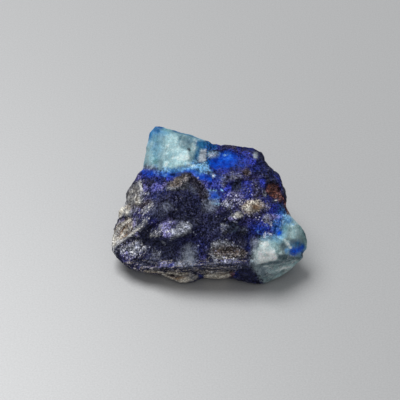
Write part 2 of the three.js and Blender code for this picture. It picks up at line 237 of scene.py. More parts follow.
def on_sheet(p):
    q = p - SHEET
    w = q @ OUT
    k = FAR / (FAR - w) / STEP
    return 200 + q[:, 0] * k, 200 - (q @ UP) * k, w


def inside(a, b, outline):
    """Signed distance to an outline in sheet steps, above zero inside it."""
    pts = np.array(outline, float)
    best = np.full(len(a), 1e9)
    odd = np.zeros(len(a), bool)
    for (x0, y0), (x1, y1) in zip(pts, np.roll(pts, -1, axis=0)):
        ex, ey = x1 - x0, y1 - y0
        t = np.clip(((a - x0) * ex + (b - y0) * ey) / (ex * ex + ey * ey), 0, 1)
        best = np.minimum(best, np.hypot(a - x0 - t * ex, b - y0 - t * ey))
        cross = ((y0 > b) != (y1 > b)) & (a < ex * (b - y0) / (ey if abs(ey) > 1e-9 else 1e-9) + x0)
        odd ^= cross
    return np.where(odd, best, -best)


def oval(a, b, x, y, rx, ry, turn=0.0):
    """About the signed distance to an oval in sheet steps. turn is in degrees, anticlockwise."""
    c, s = math.cos(math.radians(turn)), math.sin(math.radians(turn))
    u = (a - x) * c - (b - y) * s
    v = (a - x) * s + (b - y) * c
    r = np.sqrt((u / rx) ** 2 + (v / ry) ** 2)
    return (1 - r) * min(rx, ry)


def line(a, b, points, half):
    """Signed distance to a band along a line of points."""
    best = np.full(len(a), 1e9)
    for (x0, y0), (x1, y1) in zip(points[:-1], points[1:]):
        ex, ey = x1 - x0, y1 - y0
        t = np.clip(((a - x0) * ex + (b - y0) * ey) / (ex * ex + ey * ey), 0, 1)
        best = np.minimum(best, np.hypot(a - x0 - t * ex, b - y0 - t * ey))
    return half - best


any_of = lambda *f: np.maximum.reduce(f)

# the two pale cloudy crystals
BLOCK = [(148, 133), (150, 127), (156, 124), (163, 126), (173, 128), (182, 130), (192, 135), (199, 137), (206, 139),
         (205, 148), (200, 151), (198, 157), (194, 162), (188, 166), (180, 169), (170, 170), (165, 168), (162, 169), (156, 168),
         (150, 166), (141, 167), (143, 158), (146, 147)]
KNOB = [(285, 217), (289, 212), (296, 218), (304, 226), (310, 238), (310, 250), (305, 258), (304, 263), (295, 270),
        (283, 279), (268, 285), (262, 279), (256, 270), (252, 264), (253, 254), (257, 244), (264, 238), (276, 236), (282, 227)]


PYRAMID = [(193, 175), (204, 193), (205, 206), (199, 214), (190, 226), (168, 218), (150, 229), (142, 231), (153, 211),
           (162, 195), (179, 190), (190, 182)]


def warped(p):
    """Sheet places of points p (mm), with the small wander that grown edges have."""
    a, b, w = on_sheet(p)
    wa = 1.0 * fbm(p / 2.2, 3, 21) + 0.9 * noise(p / 0.50, 24)
    wb = 1.0 * fbm(p / 2.2, 3, 31) + 0.9 * noise(p / 0.50, 34)
    return a, b, wa, wb


# ---------------------------------------------------------------------------
# Build the surface
# ---------------------------------------------------------------------------

v, tri = solid_of(NODE)
low, high = v.min(0), v.max(0)


def pace(h):
    """Longest edge allowed at a place: finest on the broken front, coarse on the flat foot."""
    def reach(m):
        q = m - SHEET
        rear = smooth(-2.5, -7.0, q @ OUT)
        r = h * (1 + 0.35 * rear)
        return np.where(m[:, 2] < 1e-4, h * 5, r)
    return reach


v, tri = refine(v, tri, pace(0.42))
ed, _ = edges_of(tri)
foot = v[:, 2] < 1e-4
# the facets' own creases are worn down a little
soft = v.copy()
for _ in range(2):
    soft = averaged(soft, ed, len(v), 1)
    soft[foot] = v[foot]
v = v + 0.8 * (soft - v)


def rise(field, height, soft=1.5):
    return height * smooth(-soft, soft, field)


def forms(p, facing):
    """Blocks, ledges and hollows of the broken front, as a height (mm) out of the sheet."""
    a, b, w = on_sheet(p)
    x = a + 0.9 * fbm(p / 2.0, 2, 61)
    y = b + 0.9 * fbm(p / 2.0, 2, 71)
    h = np.zeros(len(p))
    # pale block, standing over the dark ground with a stepped lower edge
    h += rise(inside(x, y, BLOCK), 0.30, 3.0)
    h += rise(inside(x, y, [(168, 153), (180, 147), (190, 149), (193, 158), (189, 164), (178, 167), (168, 164)]), 0.10, 1.8)
    h += rise(inside(x, y, [(173, 158.6), (176, 156.4), (180, 154.6), (184, 149.8), (188, 151), (189.4, 156), (190, 160), (184, 166), (174, 166)]), 0.07, 0.7)
    h -= rise(line(x, y, [(189, 138), (189.5, 147), (190, 158)], 1.2), 0.07, 1.4)
    h += rise(inside(x, y, [(191, 139), (196, 141), (195, 150), (192, 159), (190.6, 150)]), 0.06, 1.2)
    h -= rise(line(x, y, [(161, 128), (158, 140), (155, 155), (156, 168)], 1.0), 0.14, 1.5)
    # glassy blue hollow and the ledges round it
    h -= rise(oval(x, y, 228, 161, 15, 7, 5), 0.30, 6.0)
    h += rise(line(x, y, [(200, 142), (214, 147), (230, 147), (248, 151), (258, 156)], 2.4), 0.05, 2.6)
    h += rise(line(x, y, [(190, 165), (200, 169), (208, 173), (216, 179)], 2.6), 0.20, 2.2)
    h += rise(line(x, y, [(222, 180), (234, 175), (249, 174)], 3.5), 0.06, 2.0)
    h -= rise(oval(x, y, 238, 186, 12, 4.5, 5), 0.18, 2.5)
    h += rise(oval(x, y, 256, 155, 4.5, 4.5), 0.10, 1.4)
    # brown lens and the dark facet below it
    h += rise(oval(x, y, 179, 181.5, 14, 6.5, 30), 0.34, 1.8)
    edge = inside(x, y, [(193, 176), (203, 192), (205, 206), (200, 214), (191, 222), (168, 217), (152, 226), (142, 231), (153, 211), (162, 196), (179, 190)])
    h += smooth(-1.5, 1.5, edge) * np.clip(0.42 - 0.022 * (x - 160) + 0.006 * (y - 200), -0.55, 0.55)
    h += rise(line(x, y, [(166, 192), (156, 207), (146, 224)], 2.2), 0.20, 2.2)
    h -= rise(line(x, y, [(158, 189), (148, 205), (138, 220)], 2.4), 0.20, 2.2)
    # crest with its overhung lower edge, and the dark hollow under it
    shelf = inside(x, y, [(140, 226), (152, 214), (164, 210), (178, 214), (192, 219), (192, 226), (190.4, 231.6), (183, 235.4), (176, 237.6), (171, 240.4), (164, 238.6), (160, 236.6), (151, 237), (146, 233)])
    down = np.clip((y - 214) / 20, 0, 1)
    h += 0.66 * smooth(-0.7, 0.7, shelf) * down * down * smooth(148, 166, x)
    h -= rise(inside(x, y, [(140, 240), (150, 240), (160, 243), (171, 246), (181, 241), (192, 237), (200, 238), (203, 248), (200, 262), (178, 262), (160, 260), (146, 252)]), 0.45, 3.5)
    h += rise(oval(x, y, 189, 256, 7, 10, 4), 0.30, 3.5)
    # pale ridge running down to the left tip, tan facet behind it
    h += rise(line(x, y, [(113, 247), (122, 240.5), (134, 232), (142, 225), (148, 216)], 2.6), 0.26, 2.4)
    h -= rise(line(x, y, [(119, 247), (126, 243), (133, 240), (142, 238)], 2.2), 0.34, 1.6)
    h -= rise(inside(x, y, [(116, 238), (118, 224), (126, 218), (134, 221), (132, 231), (122, 239)]), 0.25, 1.5)
    h += rise(oval(x, y, 129, 252, 15, 9, -12), 0.35, 3.5)
    # crystals on the left flank
    h += rise(inside(x, y, [(127, 190), (134, 181), (140, 183), (140, 199), (135, 206), (127, 203)]), 0.30, 1.0)
    h -= rise(line(x, y, [(131, 183), (134, 194), (131, 205)], 0.8), 0.25, 0.8)
    h += rise(inside(x, y, [(118, 212), (124, 205), (131, 207), (128, 217), (119, 219)]), 0.40, 1.0)
    h -= rise(line(x, y, [(121, 208), (125, 213), (122, 220)], 0.8), 0.25, 0.8)
    # lip over the toe and the lobes under it
    h += rise(line(x, y, [(126, 264), (138, 268), (152, 270), (176, 269), (200, 268), (226, 266.5), (250, 264)], 3.2), 0.55, 1.5)
    h -= rise(line(x, y, [(140, 272.5), (160, 273.5), (178, 273), (200, 273), (226, 271), (246, 269)], 1.2), 0.40, 1.2)
    h += rise(oval(x, y, 176, 279, 14, 5, 0), 0.48, 1.8) + rise(line(x, y, [(166, 278), (174, 281), (184, 281.4)], 0.8), 0.12, 0.9) + rise(oval(x, y, 219, 275, 15, 4.5, 0), 0.50, 1.6) + rise(oval(x, y, 249, 277, 16, 9, 0), 0.40, 2.0)
    # textured patch, and the dark gaps beside it
    h += rise(oval(x, y, 227, 251, 16, 10, 5), 0.14, 3.0)
    h -= rise(line(x, y, [(214, 250.5), (226, 251.5), (236, 250)], 1.8), 0.16, 1.4)
    h -= rise(line(x, y, [(204, 236), (204, 250), (206, 262)], 3.0), 0.30, 2.5)
    h -= rise(oval(x, y, 244, 238, 8, 6), 0.40, 3.0) + rise(oval(x, y, 213, 224, 10, 7), 0.20, 3.5)
    h += rise(oval(x, y, 226, 228, 6, 4), 0.04, 2.5)
    # pale grains on the right
    h += rise(oval(x, y, 256, 206.5, 12, 5.5, 8), 0.09, 3.2) + rise(oval(x, y, 237, 216.5, 5, 3), 0.12, 1.4) + rise(oval(x, y, 232, 203, 10, 7, -20), 0.08, 2.5)
    h += rise(oval(x, y, 267.5, 219.5, 5, 4), 0.10, 1.2) + rise(oval(x, y, 211, 203, 7, 9, -25), 0.12, 3.0)
    # rusty hollow inside the right edge
    h -= rise(oval(x, y, 273, 193, 8, 10, -12), 0.60, 2.0)
    h += rise(line(x, y, [(270, 169), (278, 178), (282, 190), (285, 200)], 2.0), 0.25, 1.2)
    # pale knob: flat bright face with a sharp lower edge, and the facet under it
    h += rise(inside(x, y, KNOB), 0.22, 2.4)
    h += rise(inside(x, y, [(250, 245), (262, 238), (272, 243), (278, 257), (276, 260), (266, 261.4), (255, 265)]), 0.42, 0.6)
    h -= rise(inside(x, y, [(254, 266), (268, 263.5), (280, 262), (292, 259), (303, 259), (294, 268), (284, 277), (268, 284), (262, 278)]), 0.35, 1.2)
    h -= rise(line(x, y, [(249, 262), (250, 250), (257, 239), (268, 233)], 1.6), 0.10, 2.4)
    h -= rise(line(x, y, [(289, 252), (296, 256), (304, 255)], 1.2), 0.35, 1.0)
    h -= rise(oval(x, y, 279, 232, 6, 8, -20), 0.20, 2.5)
    h += rise(inside(x, y, [(277, 271), (281, 267), (290, 266), (288, 269)]), 0.16, 0.6) + rise(line(x, y, [(262, 267), (269, 266)], 1.0), 0.10, 0.6)
    h -= rise(line(x, y, [(268, 264), (276, 263), (285, 262)], 1.4), 0.10, 1.0)
    return h * smooth(-0.3, 0.15, facing)



nor = averaged(normals_of(v, tri), ed, len(v), 3)
nor /= np.maximum(np.linalg.norm(nor, axis=1, keepdims=True), 1e-9)
h = forms(v, averaged(nor @ OUT, ed, len(v), 4))
h *= smooth(0.0, 0.8, v[:, 2])
v = v + OUT * h[:, None]
v[:, 2] = np.where(foot, 0.0, np.maximum(v[:, 2], 0.02))
v = np.minimum(np.maximum(v, low), high)
v, tri = refine(v, tri, pace(0.215))
print("surface", len(v), "corners", len(tri), "triangles")

ed, _ = edges_of(tri)
foot = v[:, 2] < 1e-4
nor = averaged(normals_of(v, tri), ed, len(v), 3)
nor /= np.maximum(np.linalg.norm(nor, axis=1, keepdims=True), 1e-9)
facing = averaged(nor @ OUT, ed, len(v), 10)

# rough places and smooth places
a, b, wa, wb = warped(v)
x, y = a + wa, b + wb
front = smooth(-0.35, 0.1, facing)
glassy = smooth(-1.5, 2.0, any_of(inside(x, y, BLOCK), inside(x, y, KNOB), oval(x, y, 226, 160, 15, 8, 5)))
calm = smooth(-3.0, 3.0, any_of(inside(x, y, PYRAMID), oval(x, y, 172, 248, 26, 9, 0), oval(x, y, 208, 228, 14, 14, 0), oval(x, y, 250, 234, 8, 14, 0), oval(x, y, 148, 178, 14, 9, 0)))
craggy = np.clip(smooth(-2, 3, any_of(oval(x, y, 134, 195, 10, 18, 20), oval(x, y, 124, 226, 12, 16, 20), oval(x, y, 128, 248, 15, 9, -15),
                                      line(x, y, [(128, 267), (160, 271), (200, 268), (250, 264)], 4))), 0, 1) * front
rear = 1 - front
tame = 1 - 0.55 * glassy - 0.45 * calm * front
lift = np.zeros(len(v))
c, _ = chips(v, 3.4, 3, 0.30, 0.30)
lift += (0.30 * tame + 0.9 * rear) * c
c, _ = chips(v, 1.5, 4, 0.32, 0.14)
lift += (0.75 * tame + 0.35 * craggy) * c
c, f = chips(v, 0.66, 5, 0.36, 0.07)
lift += (0.75 * tame + 0.55 * craggy) * c
lift += 0.055 * fbm(v / 1.3, 3, 8) * tame
lift += 0.030 * fbm(v / 0.45, 2, 9) * tame
# bedding lines along the lip above the toe
band = smooth(-2.0, 3.0, line(a, b, [(124, 262), (150, 270), (200, 268.5), (246, 265)], 6.5)) * front
lift += band * 0.16 * fbm(np.stack([v[:, 0] / 4.5, v[:, 1] / 1.2, v[:, 2] / 0.42], 1), 3, 12)
fade = smooth(0.0, 0.5, v[:, 2])
moved = v + nor * (lift * fade)[:, None]
moved[foot] = v[foot]
moved = np.minimum(np.maximum(moved, low), high)
moved[:, 2] = np.where(foot, 0.0, np.maximum(moved[:, 2], 0.02))
v = moved

# ---------------------------------------------------------------------------
# Mineral patches. Each has an outline on the sheet, a softness (how many steps its
# edge fades over), a cap (2 is solid, 0 is about half speckle, below 0 is sparse)
# and a wander (how far its outline strays with the grain).
# ---------------------------------------------------------------------------


def O(x, y, rx, ry, turn=0.0, soft=1.5, cap=2.0, wander=1.0):
    return ("oval", (x, y, rx, ry, turn), soft, cap, wander)


def P(points, soft=1.5, cap=2.0, wander=1.0):
    return ("inside", (points,), soft, cap, wander)


def L(points, half, soft=1.5, cap=2.0, wander=1.0):
    return ("line", (points, half), soft, cap, wander)


PATCHES = {
    # dark blue-violet ground
    "violet": [L([(281.6, 199), (283.4, 204), (286, 210)], 1.6, 1.4, 1.8, 0.5), O(155, 225, 6, 4, -30, 2.4, 1.6, 0.6), 
        P([(141, 178), (150, 179), (154, 184), (149, 189), (142, 187), (138, 181)], 1.5, 2.0), L([(137, 178), (141, 172)], 3.0, 1.5, 1.2),
        P([(218, 148), (240, 146.5), (250, 150), (254, 158), (250, 170), (262, 178), (268, 190), (264, 198), (276, 206), (284, 214), (278, 226), (266, 232),
           (252, 230), (246, 222), (244, 214), (226, 210), (222, 196), (212, 190), (222, 182), (236, 172), (236, 156)], 2.5, 1.0),
        O(154, 224, 5, 5, 20, 2.0, 1.8), O(219, 210, 6, 4, 0, 2.0, 1.0), O(179, 254, 3.4, 7, 10, 2.5, 1.0), O(166, 265, 6, 3, 0, 2.0, 1.2),
        L([(122, 257), (129, 262), (138, 267)], 3.0, 2.0, 1.0), O(163, 238, 2.6, 2.2, 0, 1.2, 1.4), O(190, 241, 8, 3, 0, 3.0, -0.2),
        O(201, 256, 4, 9, 0, 3.0, 0.6), O(166, 199, 10, 8, 0, 4.0, -0.5), O(237, 262, 12, 4, 0, 2.0, 0.2),
        O(137, 213, 5, 5, 30, 2.0, 1.2), O(248, 220, 8, 7, 0, 3.0, 1.2), O(143, 255, 3, 5, 0, 2.0, 1.0)],
    # the navy lines along the right rim (262..284, 165..188) are partly painted shade, darkening a rim that faces the
    # lamp
    "navy": [O(200, 275.4, 2.4, 3.2, 0, 1.6, 0.8, 0.5), O(235, 273.6, 3.2, 3.6, 0, 1.4, 2.0, 0.4), L([(262.5, 167), (268, 172.5), (273, 177)], 3.2, 2.0, 1.9, 0.4), L([(272, 170), (279, 178), (282, 185)], 4.4, 2.0, 1.8, 0.8), O(210, 146.4, 4.4, 2.4, 20, 2.0, 1.6, 0.4), L([(216, 146), (232, 145), (248, 148), (258, 152), (266, 162), (278, 172), (284, 188)], 3.0, 2.0, 1.4), 
        P([(141, 168), (152, 167), (155, 172), (155, 178), (146, 180), (139, 178)], 1.2, 2.0),
        L([(161, 169), (159, 178), (156, 186)], 3.2, 1.6, 1.8), P([(150, 188), (164, 180), (168, 188), (158, 200), (150, 200)], 3.0, 0.5),
        O(253, 230, 7, 9, -20, 3.0, 2.0), L([(247, 238), (249, 248)], 2.6, 2.5, 0.8), P([(196, 170), (212, 176), (224, 184), (222, 200), (208, 192), (198, 180)], 3.0, 1.0),
        O(207, 160, 3, 6, 0, 2.0, 1.2), L([(209, 146), (218, 148.5)], 2.4, 1.6, 1.8), L([(268, 170), (278, 178), (283, 188)], 3.0, 2.0, 1.0),
        O(256, 166, 8, 6, 0, 3.0, 0.6), O(246, 163, 9, 6, 0, 3.0, 1.0), L([(228, 184), (240, 188), (246, 196)], 3.0, 2.5, 0.2), O(193, 246, 10, 4, 0, 4.0, -0.2),
        O(152, 214, 6, 5, 0, 4.0, -0.4), O(270, 236, 8, 3, -20, 2.5, 0.8), O(272, 208, 8, 5, 0, 3.0, 1.0), O(198, 250, 2.5, 8, 0, 2.0, 0.4)],
    "ultra": [O(277, 176, 2.6, 3.8, -25, 1.4, 1.6, 0.4), O(234, 172, 6, 2.6, -10, 2.2, 0.0), 
        P([(204, 177), (216, 177), (222, 181), (224, 188), (232, 190), (230, 196), (224, 202), (214, 196), (205, 187)], 2.0, 1.4),
        P([(239, 151), (250, 151), (255, 157), (257, 163), (248, 164), (240, 161), (236, 156)], 2.0, 0.6), O(216, 147, 5, 2, 15, 1.5, 0.4),
        P([(240, 183), (252, 181), (253, 190), (250, 200), (244, 198), (240, 191)], 1.8, 0.4), O(262, 183, 4.0, 6.0, -10, 2.2, 1.0), O(226, 190, 7, 4, 30, 2.0, 0.6),
        P([(266, 205), (276, 205), (283, 212), (284, 224), (276, 232), (266, 231), (258, 228), (260, 219), (268, 212)], 2.5, 0.6),
        O(278, 177.5, 2.8, 3.6, -30, 2.0, 0.6), O(224, 171, 8, 4, -10, 2.5, 1.0), O(171.5, 177, 3, 4, 20, 1.5, 2.0),
        O(172.5, 264.5, 3.0, 2.6, 0, 1.5, 1.8), O(217, 198, 5, 6, 0, 2.5, 1.2), O(148, 173, 5, 4, 0, 3.0, -0.3), O(265, 200, 5, 3, 20, 2.0, 0.4), O(248, 172, 5, 4, 0, 3.0, -0.3)],
    "vivid": [
        O(156, 187.5, 3.6, 3.4, 20, 2.0, 0.2), O(146, 188, 2.4, 2.4, 0, 1.4, -0.3), O(262.5, 183, 2.2, 3.4, 0, 1.5, 0.5), O(168, 177, 2, 4, 0, 1.2, 1.6), O(248, 190, 2.6, 6, 5, 1.8, -0.3),
        O(217, 182, 6, 4, 0, 2.5, 0.7), L([(277, 176), (280, 180)], 1.4, 1.4, -1.0), L([(194, 174), (208, 178)], 2.6, 1.8, 1.2), O(272, 213, 4, 4, 0, 3.0, -0.2), O(253, 161, 3, 2.4, 0, 2.0, 0.0), O(244, 155, 4, 3, 0, 2.5, -0.6),
        O(173, 264.5, 2, 1.6, 0, 1.2, 0.6), O(227, 189, 3, 4, 0, 2.0, 0.4)],
    # faintly clouded places
    "haze": [
        O(167, 206.5, 4.4, 3.6, 10, 2.5, -0.1, 0.6), P([(184, 246), (190, 243), (196, 247), (197, 262), (193, 267), (182, 266), (178, 260), (180, 252)], 3.0, 1.9, 0.5), O(190, 259, 5, 7, 0, 2.5, 2.0, 0.5),
        P([(203, 204), (208, 200), (217, 201), (217, 207), (212, 212), (204, 211)], 2.4, 1.9, 0.5), O(214, 202, 3.4, 2.4, 0, 2.0, 2.0, 0.4), O(158, 211, 5, 4, 0, 3.0, -0.3),
        O(163, 264, 4, 2.6, 0, 2.0, 1.0), O(178, 264, 4, 1.6, 0, 1.5, 1.0, 0.5), O(244, 231, 3, 2.4, 0, 1.5, 0.3),
        O(256.6, 247, 3.6, 6.5, 15, 3.0, 1.2, 0.5), L([(254, 258), (256, 268)], 2.4, 2.6, 1.2, 0.5), O(148, 167.6, 6, 1.8, 0, 2.2, 1.0, 0.4), L([(254, 250), (252, 262)], 2.4, 2.5, 0.8, 0.6), O(210, 193, 5, 3, 0, 2.0, 0.2), L([(150, 190), (156, 198), (150, 206)], 3.0, 3.0, -1.3),
        O(152, 263, 8, 3, 0, 3.0, -0.6), O(166, 250, 13, 6, 0, 5.0, -1.1, 0.8), O(226, 265, 14, 2.5, 0, 2.0, -0.4), O(183, 222, 9, 3, 0, 2.0, -0.9)],
    "mist": [L([(214, 184), (222, 180.4), (232, 177)], 1.4, 2.2, -1.0, 0.5), L([(238, 174), (248, 173)], 1.4, 2.2, -1.1, 0.5), O(190, 257.5, 5.0, 8.0, 0, 2.6, 1.4, 0.5), L([(188, 248), (191, 256)], 2.4, 2.4, 0.4, 0.5), O(181, 263, 3, 2, 0, 2.0, 0.0, 0.5), O(214.6, 202, 3.2, 2.2, 0, 1.8, 1.2, 0.4), O(210, 204.6, 4.4, 3.4, -20, 2.4, 0.7, 0.5),
             O(166.5, 206, 3.0, 2.4, 10, 2.0, -0.5, 0.6), O(213, 155.2, 4.4, 2.2, 5, 1.4, -0.2, 0.3), O(255.6, 155, 2.2, 3.2, 0, 1.2, 1.2, 0.3), P([(174, 232), (180, 227), (186, 224), (191, 226), (189, 232), (178, 236)], 2.0, -0.3, 0.4), P([(221, 180), (229, 175.6), (239, 172.6), (247, 172), (246, 175), (236, 178), (228, 180.4)], 2.4, -1.3, 0.5), O(165, 225, 4, 4, 0, 2.4, -0.9, 0.5), O(163, 264, 2.4, 1.4, 0, 1.4, 0.4, 0.4), L([(223, 225), (227, 227), (230, 231)], 0.9, 1.4, -0.3, 0.6), O(255, 246, 2.6, 5, 15, 2.4, 0.4, 0.5), L([(190.6, 186), (196, 190)], 2.0, 2.4, -0.8, 0.5),
             O(147.5, 167, 4.5, 1.6, 0, 1.6, 0.8, 0.4), O(257, 262, 3, 4, 0, 2.4, 0.4, 0.5), O(262, 270, 4, 4, 30, 2.6, 0.0, 0.5)],
    # pale cloudy crystal, from its blue rim to its milky heart
    "aqua": [L([(156, 134), (154, 142), (154, 158)], 3.6, 3.0, 1.5, 0.4), O(163, 133, 7, 4.5, 0, 3.0, 1.3, 0.4), O(176, 169.6, 11, 2.8, 0, 1.8, 1.4, 0.4), O(159, 142, 4, 8, 0, 3.0, 0.2, 0.4),
             O(284.5, 228, 3.8, 7, -15, 2.4, 1.1, 0.5), O(274, 240, 9, 3, -10, 2.5, 0.8, 0.5), O(281, 236, 5, 3, 0, 2.0, 1.0, 0.5), O(195, 166, 7, 4, 20, 3.0, 0.0, 0.5), O(292, 222, 7, 3, 40, 2.5, -0.3, 0.5)],
    "azure": [O(156, 131.4, 4.4, 3.0, -20, 2.6, 0.3, 0.3), O(280, 223, 3.0, 7, -15, 5.0, -0.2, 1.0), O(295, 250, 8.6, 5.6, -25, 3.0, 0.2, 0.5), O(202.4, 166.2, 4.8, 3.6, 20, 2.4, 1.2, 0.6), O(206, 162.6, 3, 1.6, 0, 1.8, 0.0, 0.4), L([(162, 127.5), (154, 127.6), (151, 132), (150, 137)], 2.4, 2.0, 2.0, 0.3), O(156, 130.6, 5.4, 3.8, -20, 2.6, 1.9, 0.3), L([(150, 138), (149, 144)], 1.2, 1.8, 0.1, 0.3), O(186, 139, 4.5, 2.6, -12, 2.5, 0.3, 0.4),
              O(288, 220.5, 3.2, 2.4, -30, 1.8, 0.4, 0.5), O(279, 232.5, 3.6, 3.2, 0, 1.8, 1.2, 0.5), O(173, 172.8, 9, 2.8, 0, 1.8, 1.6, 0.4), L([(152, 149), (155, 144)], 1.0, 1.4, 0.2, 0.4), O(270, 237.5, 5, 2.4, 10, 2.0, 0.4, 0.5)],
    "deep": [L([(162, 127.0), (156, 125.6), (152, 127.6), (149.6, 131), (148, 136)], 1.7, 1.4, 1.6, 0.2), O(154.6, 129.6, 3.0, 2.2, -30, 2.4, 0.1, 0.3), O(202.6, 144.6, 8.4, 4.4, -18, 2.0, 2.0, 0.4), L([(207, 142.6), (214, 146)], 2.6, 2.4, 1.2, 0.4), L([(173, 130.6), (188, 134), (198, 138)], 0.9, 1.2, 0.6, 0.3), L([(200, 145), (198, 151), (195.6, 158)], 1.9, 2.4, 0.9, 0.5),
             L([(198.5, 163), (201, 162.5)], 1.2, 1.0, 0.8, 0.4), O(298, 243.6, 5.4, 2.6, -20, 2.4, 1.2, 0.4), O(303, 247, 1.8, 3.4, 0, 1.8, 1.0, 0.4), O(209, 162, 3, 4, 0, 2.2, 1.0, 0.4), O(286.4, 218.6, 3.0, 2.8, -40, 2.4, -0.1, 0.6), L([(207.2, 152), (207.6, 158)], 0.9, 1.0, 1.2, 0.3)],
    "jade": [L([(199.4, 146), (197.2, 152), (194.6, 158)], 1.6, 2.4, 0.6, 0.5), L([(163, 129), (170, 130), (176, 132)], 1.2, 1.8, 0.8, 0.3), L([(180, 133.5), (187, 134.5), (191, 137)], 1.4, 1.6, 1.8, 0.3), O(184, 138.4, 5, 3.2, -15, 2.2, 1.5, 0.4), O(155, 160.5, 2.6, 3.4, 0, 2.0, 1.0, 0.4), O(172, 168.6, 4, 1.6, 0, 1.6, 0.2, 0.4),
             L([(300, 226), (304.5, 234), (305, 246)], 1.8, 2.2, 0.5, 0.4), O(273.5, 245.5, 4, 3, 0, 2.0, 0.7, 0.4), O(284, 229, 3, 3, 0, 2.0, 0.4, 0.4), L([(199.5, 165), (204, 168)], 1.4, 1.4, 0.4, 0.4), O(297, 247, 6, 1.4, 0, 1.4, -0.2, 0.4)],
    "mint": [O(213, 155.0, 5.2, 2.6, 5, 1.8, 1.2, 0.3), L([(194.6, 140.4), (192.2, 147), (190.4, 154.6)], 1.9, 2.2, 0.9, 0.3), L([(151, 145), (148.6, 158)], 2.6, 2.8, 0.5, 0.4), P([(168, 146), (180, 146), (187, 150), (180, 154), (170, 157), (164, 156)], 3.0, 1.0, 0.4), O(186, 144, 6, 6, 0, 4.0, -0.6, 0.4), P([(166, 137), (170, 134), (176, 135), (179, 139), (178, 144), (172, 150), (165, 149), (163, 143)], 2.6, 1.5, 0.5),
             P([(165, 169.6), (166, 160), (172, 156), (184, 151), (189, 153), (190, 162), (187, 166.6), (176, 168.6)], 1.8, 1.9, 0.5), L([(186, 163.6), (194, 165)], 1.5, 1.4, 0.9, 0.4), O(170, 138, 3, 2, 0, 1.6, 2.0, 0.4), O(169, 145, 3.4, 3, 0, 2.0, 1.8, 0.4),
             L([(163, 160), (165, 169)], 2.0, 2.0, 0.8, 0.5), O(294, 232, 4.6, 7, 20, 3.0, 1.2, 0.5), O(270, 249, 8, 8, 0, 3.0, 1.4, 0.5), L([(279.5, 269.8), (284, 268), (290, 267)], 1.1, 1.0, 1.6, 0.3), L([(264, 266.4), (267.5, 266.4)], 0.7, 0.7, 1.2, 0.2),
             L([(270, 267.5), (273, 269)], 0.6, 0.6, 0.4, 0.2), O(293, 262, 5, 2, -10, 1.8, 0.3, 0.4), O(202, 163.5, 3, 1.6, 0, 1.4, 0.0, 0.4), O(274, 272, 9, 4, -20, 2.6, 0.7, 0.4), O(288, 265, 9, 2.4, -15, 2.0, 0.5, 0.4)],
    "slate": [P([(180, 135), (190, 138), (192, 147), (189, 150), (184, 148), (180, 145)], 3.4, 0.4, 0.3), L([(190.4, 153), (190.6, 157), (189, 161)], 0.9, 1.6, 0.2, 0.4), L([(189, 139), (189.2, 149)], 0.9, 1.4, 0.5, 0.3), O(158, 138, 4, 3, 0, 3.0, -0.4, 0.4),
              O(166, 156, 4, 2, 0, 3.0, -0.8, 0.4), L([(161, 161), (161.5, 168)], 1.4, 1.8, 0.6, 0.4), L([(147, 151), (145.5, 162)], 2.0, 2.4, -0.2, 0.4),
              P([(262, 263.5), (278, 261), (288, 261), (284, 264), (268, 266)], 1.4, 1.6, 0.4), P([(258, 266), (270, 266), (276, 270), (270, 279), (262, 276)], 2.4, -0.3, 0.4),
              P([(277, 254), (286, 254.5), (296, 257.5), (302, 257), (300, 260), (284, 260.5), (278, 259)], 1.4, 1.4, 0.4), O(268, 237.5, 5, 2.6, 10, 1.8, 0.8, 0.5),
              O(283.5, 245.5, 3.0, 3.4, 0, 1.8, 1.4, 0.5), L([(299, 228), (302, 238), (301, 244)], 2.4, 2.5, -0.5, 0.4), L([(264, 276), (270, 280)], 2.0, 2.0, 0.6, 0.4)],
    "cobalt": [O(240, 161, 6, 5, 0, 3.0, -0.5), L([(144, 171), (150, 173), (155, 174)], 2.4, 2.4, 0.2, 0.6), O(214, 185, 6, 5, 0, 3.0, -0.7), 
        O(226, 160, 12.0, 8.5, 8, 2.6, 2.0, 0.6), O(215, 163, 6, 7, 0, 2.6, 1.2, 0.6), L([(164, 174), (171, 174.6), (180, 173)], 2.8, 2.4, 0.7, 0.5),
        L([(184, 171), (192, 170.5), (197, 172.6), (201, 175)], 2.6, 1.8, 2.0, 0.5), L([(199, 176), (204, 177.4), (210, 179)], 3.0, 1.8, 1.6, 0.6), O(266, 229, 8, 4, -15, 2.6, -0.5), O(209, 148, 3.4, 2.0, 20, 2.0, -0.8, 0.4),
        O(278.6, 232, 2.6, 3.6, 0, 2.6, 1.2), O(213.6, 195.6, 4.4, 4.4, 20, 3.0, 0.6), L([(148, 171), (152, 173)], 1.5, 2.5, -0.8), O(279, 222, 2.4, 5, 0, 3.0, -0.4),
        O(262, 231, 4, 3, 0, 2.0, 0.0), O(218, 177, 5, 2.6, -20, 2.0, 0.1)],
    "spot": [P([(289.8, 252), (291.4, 248.6), (295.4, 247.4), (300, 246.4), (303, 246.8), (302, 250.8), (298, 253), (295, 255.4), (291.4, 255)], 3.0, 1.9, 0.7), O(225.5, 156.5, 7, 3.6, 0, 3.0, 0.2, 0.5), O(279.5, 233, 1.6, 1.6, 0, 1.2, 0.6, 0.4), O(191, 170, 3, 1.4, 0, 1.2, 1.0, 0.4)],
    "glow": [P([(188, 168.6), (191, 164.4), (193.2, 161.2), (196.6, 165.6), (199, 169), (192, 169.6)], 1.8, 0.9, 0.7), O(203, 169.4, 4.2, 3.0, 30, 2.4, 0.3, 0.7), O(202, 170.6, 5.4, 2.8, 20, 2.4, 0.6, 0.7),
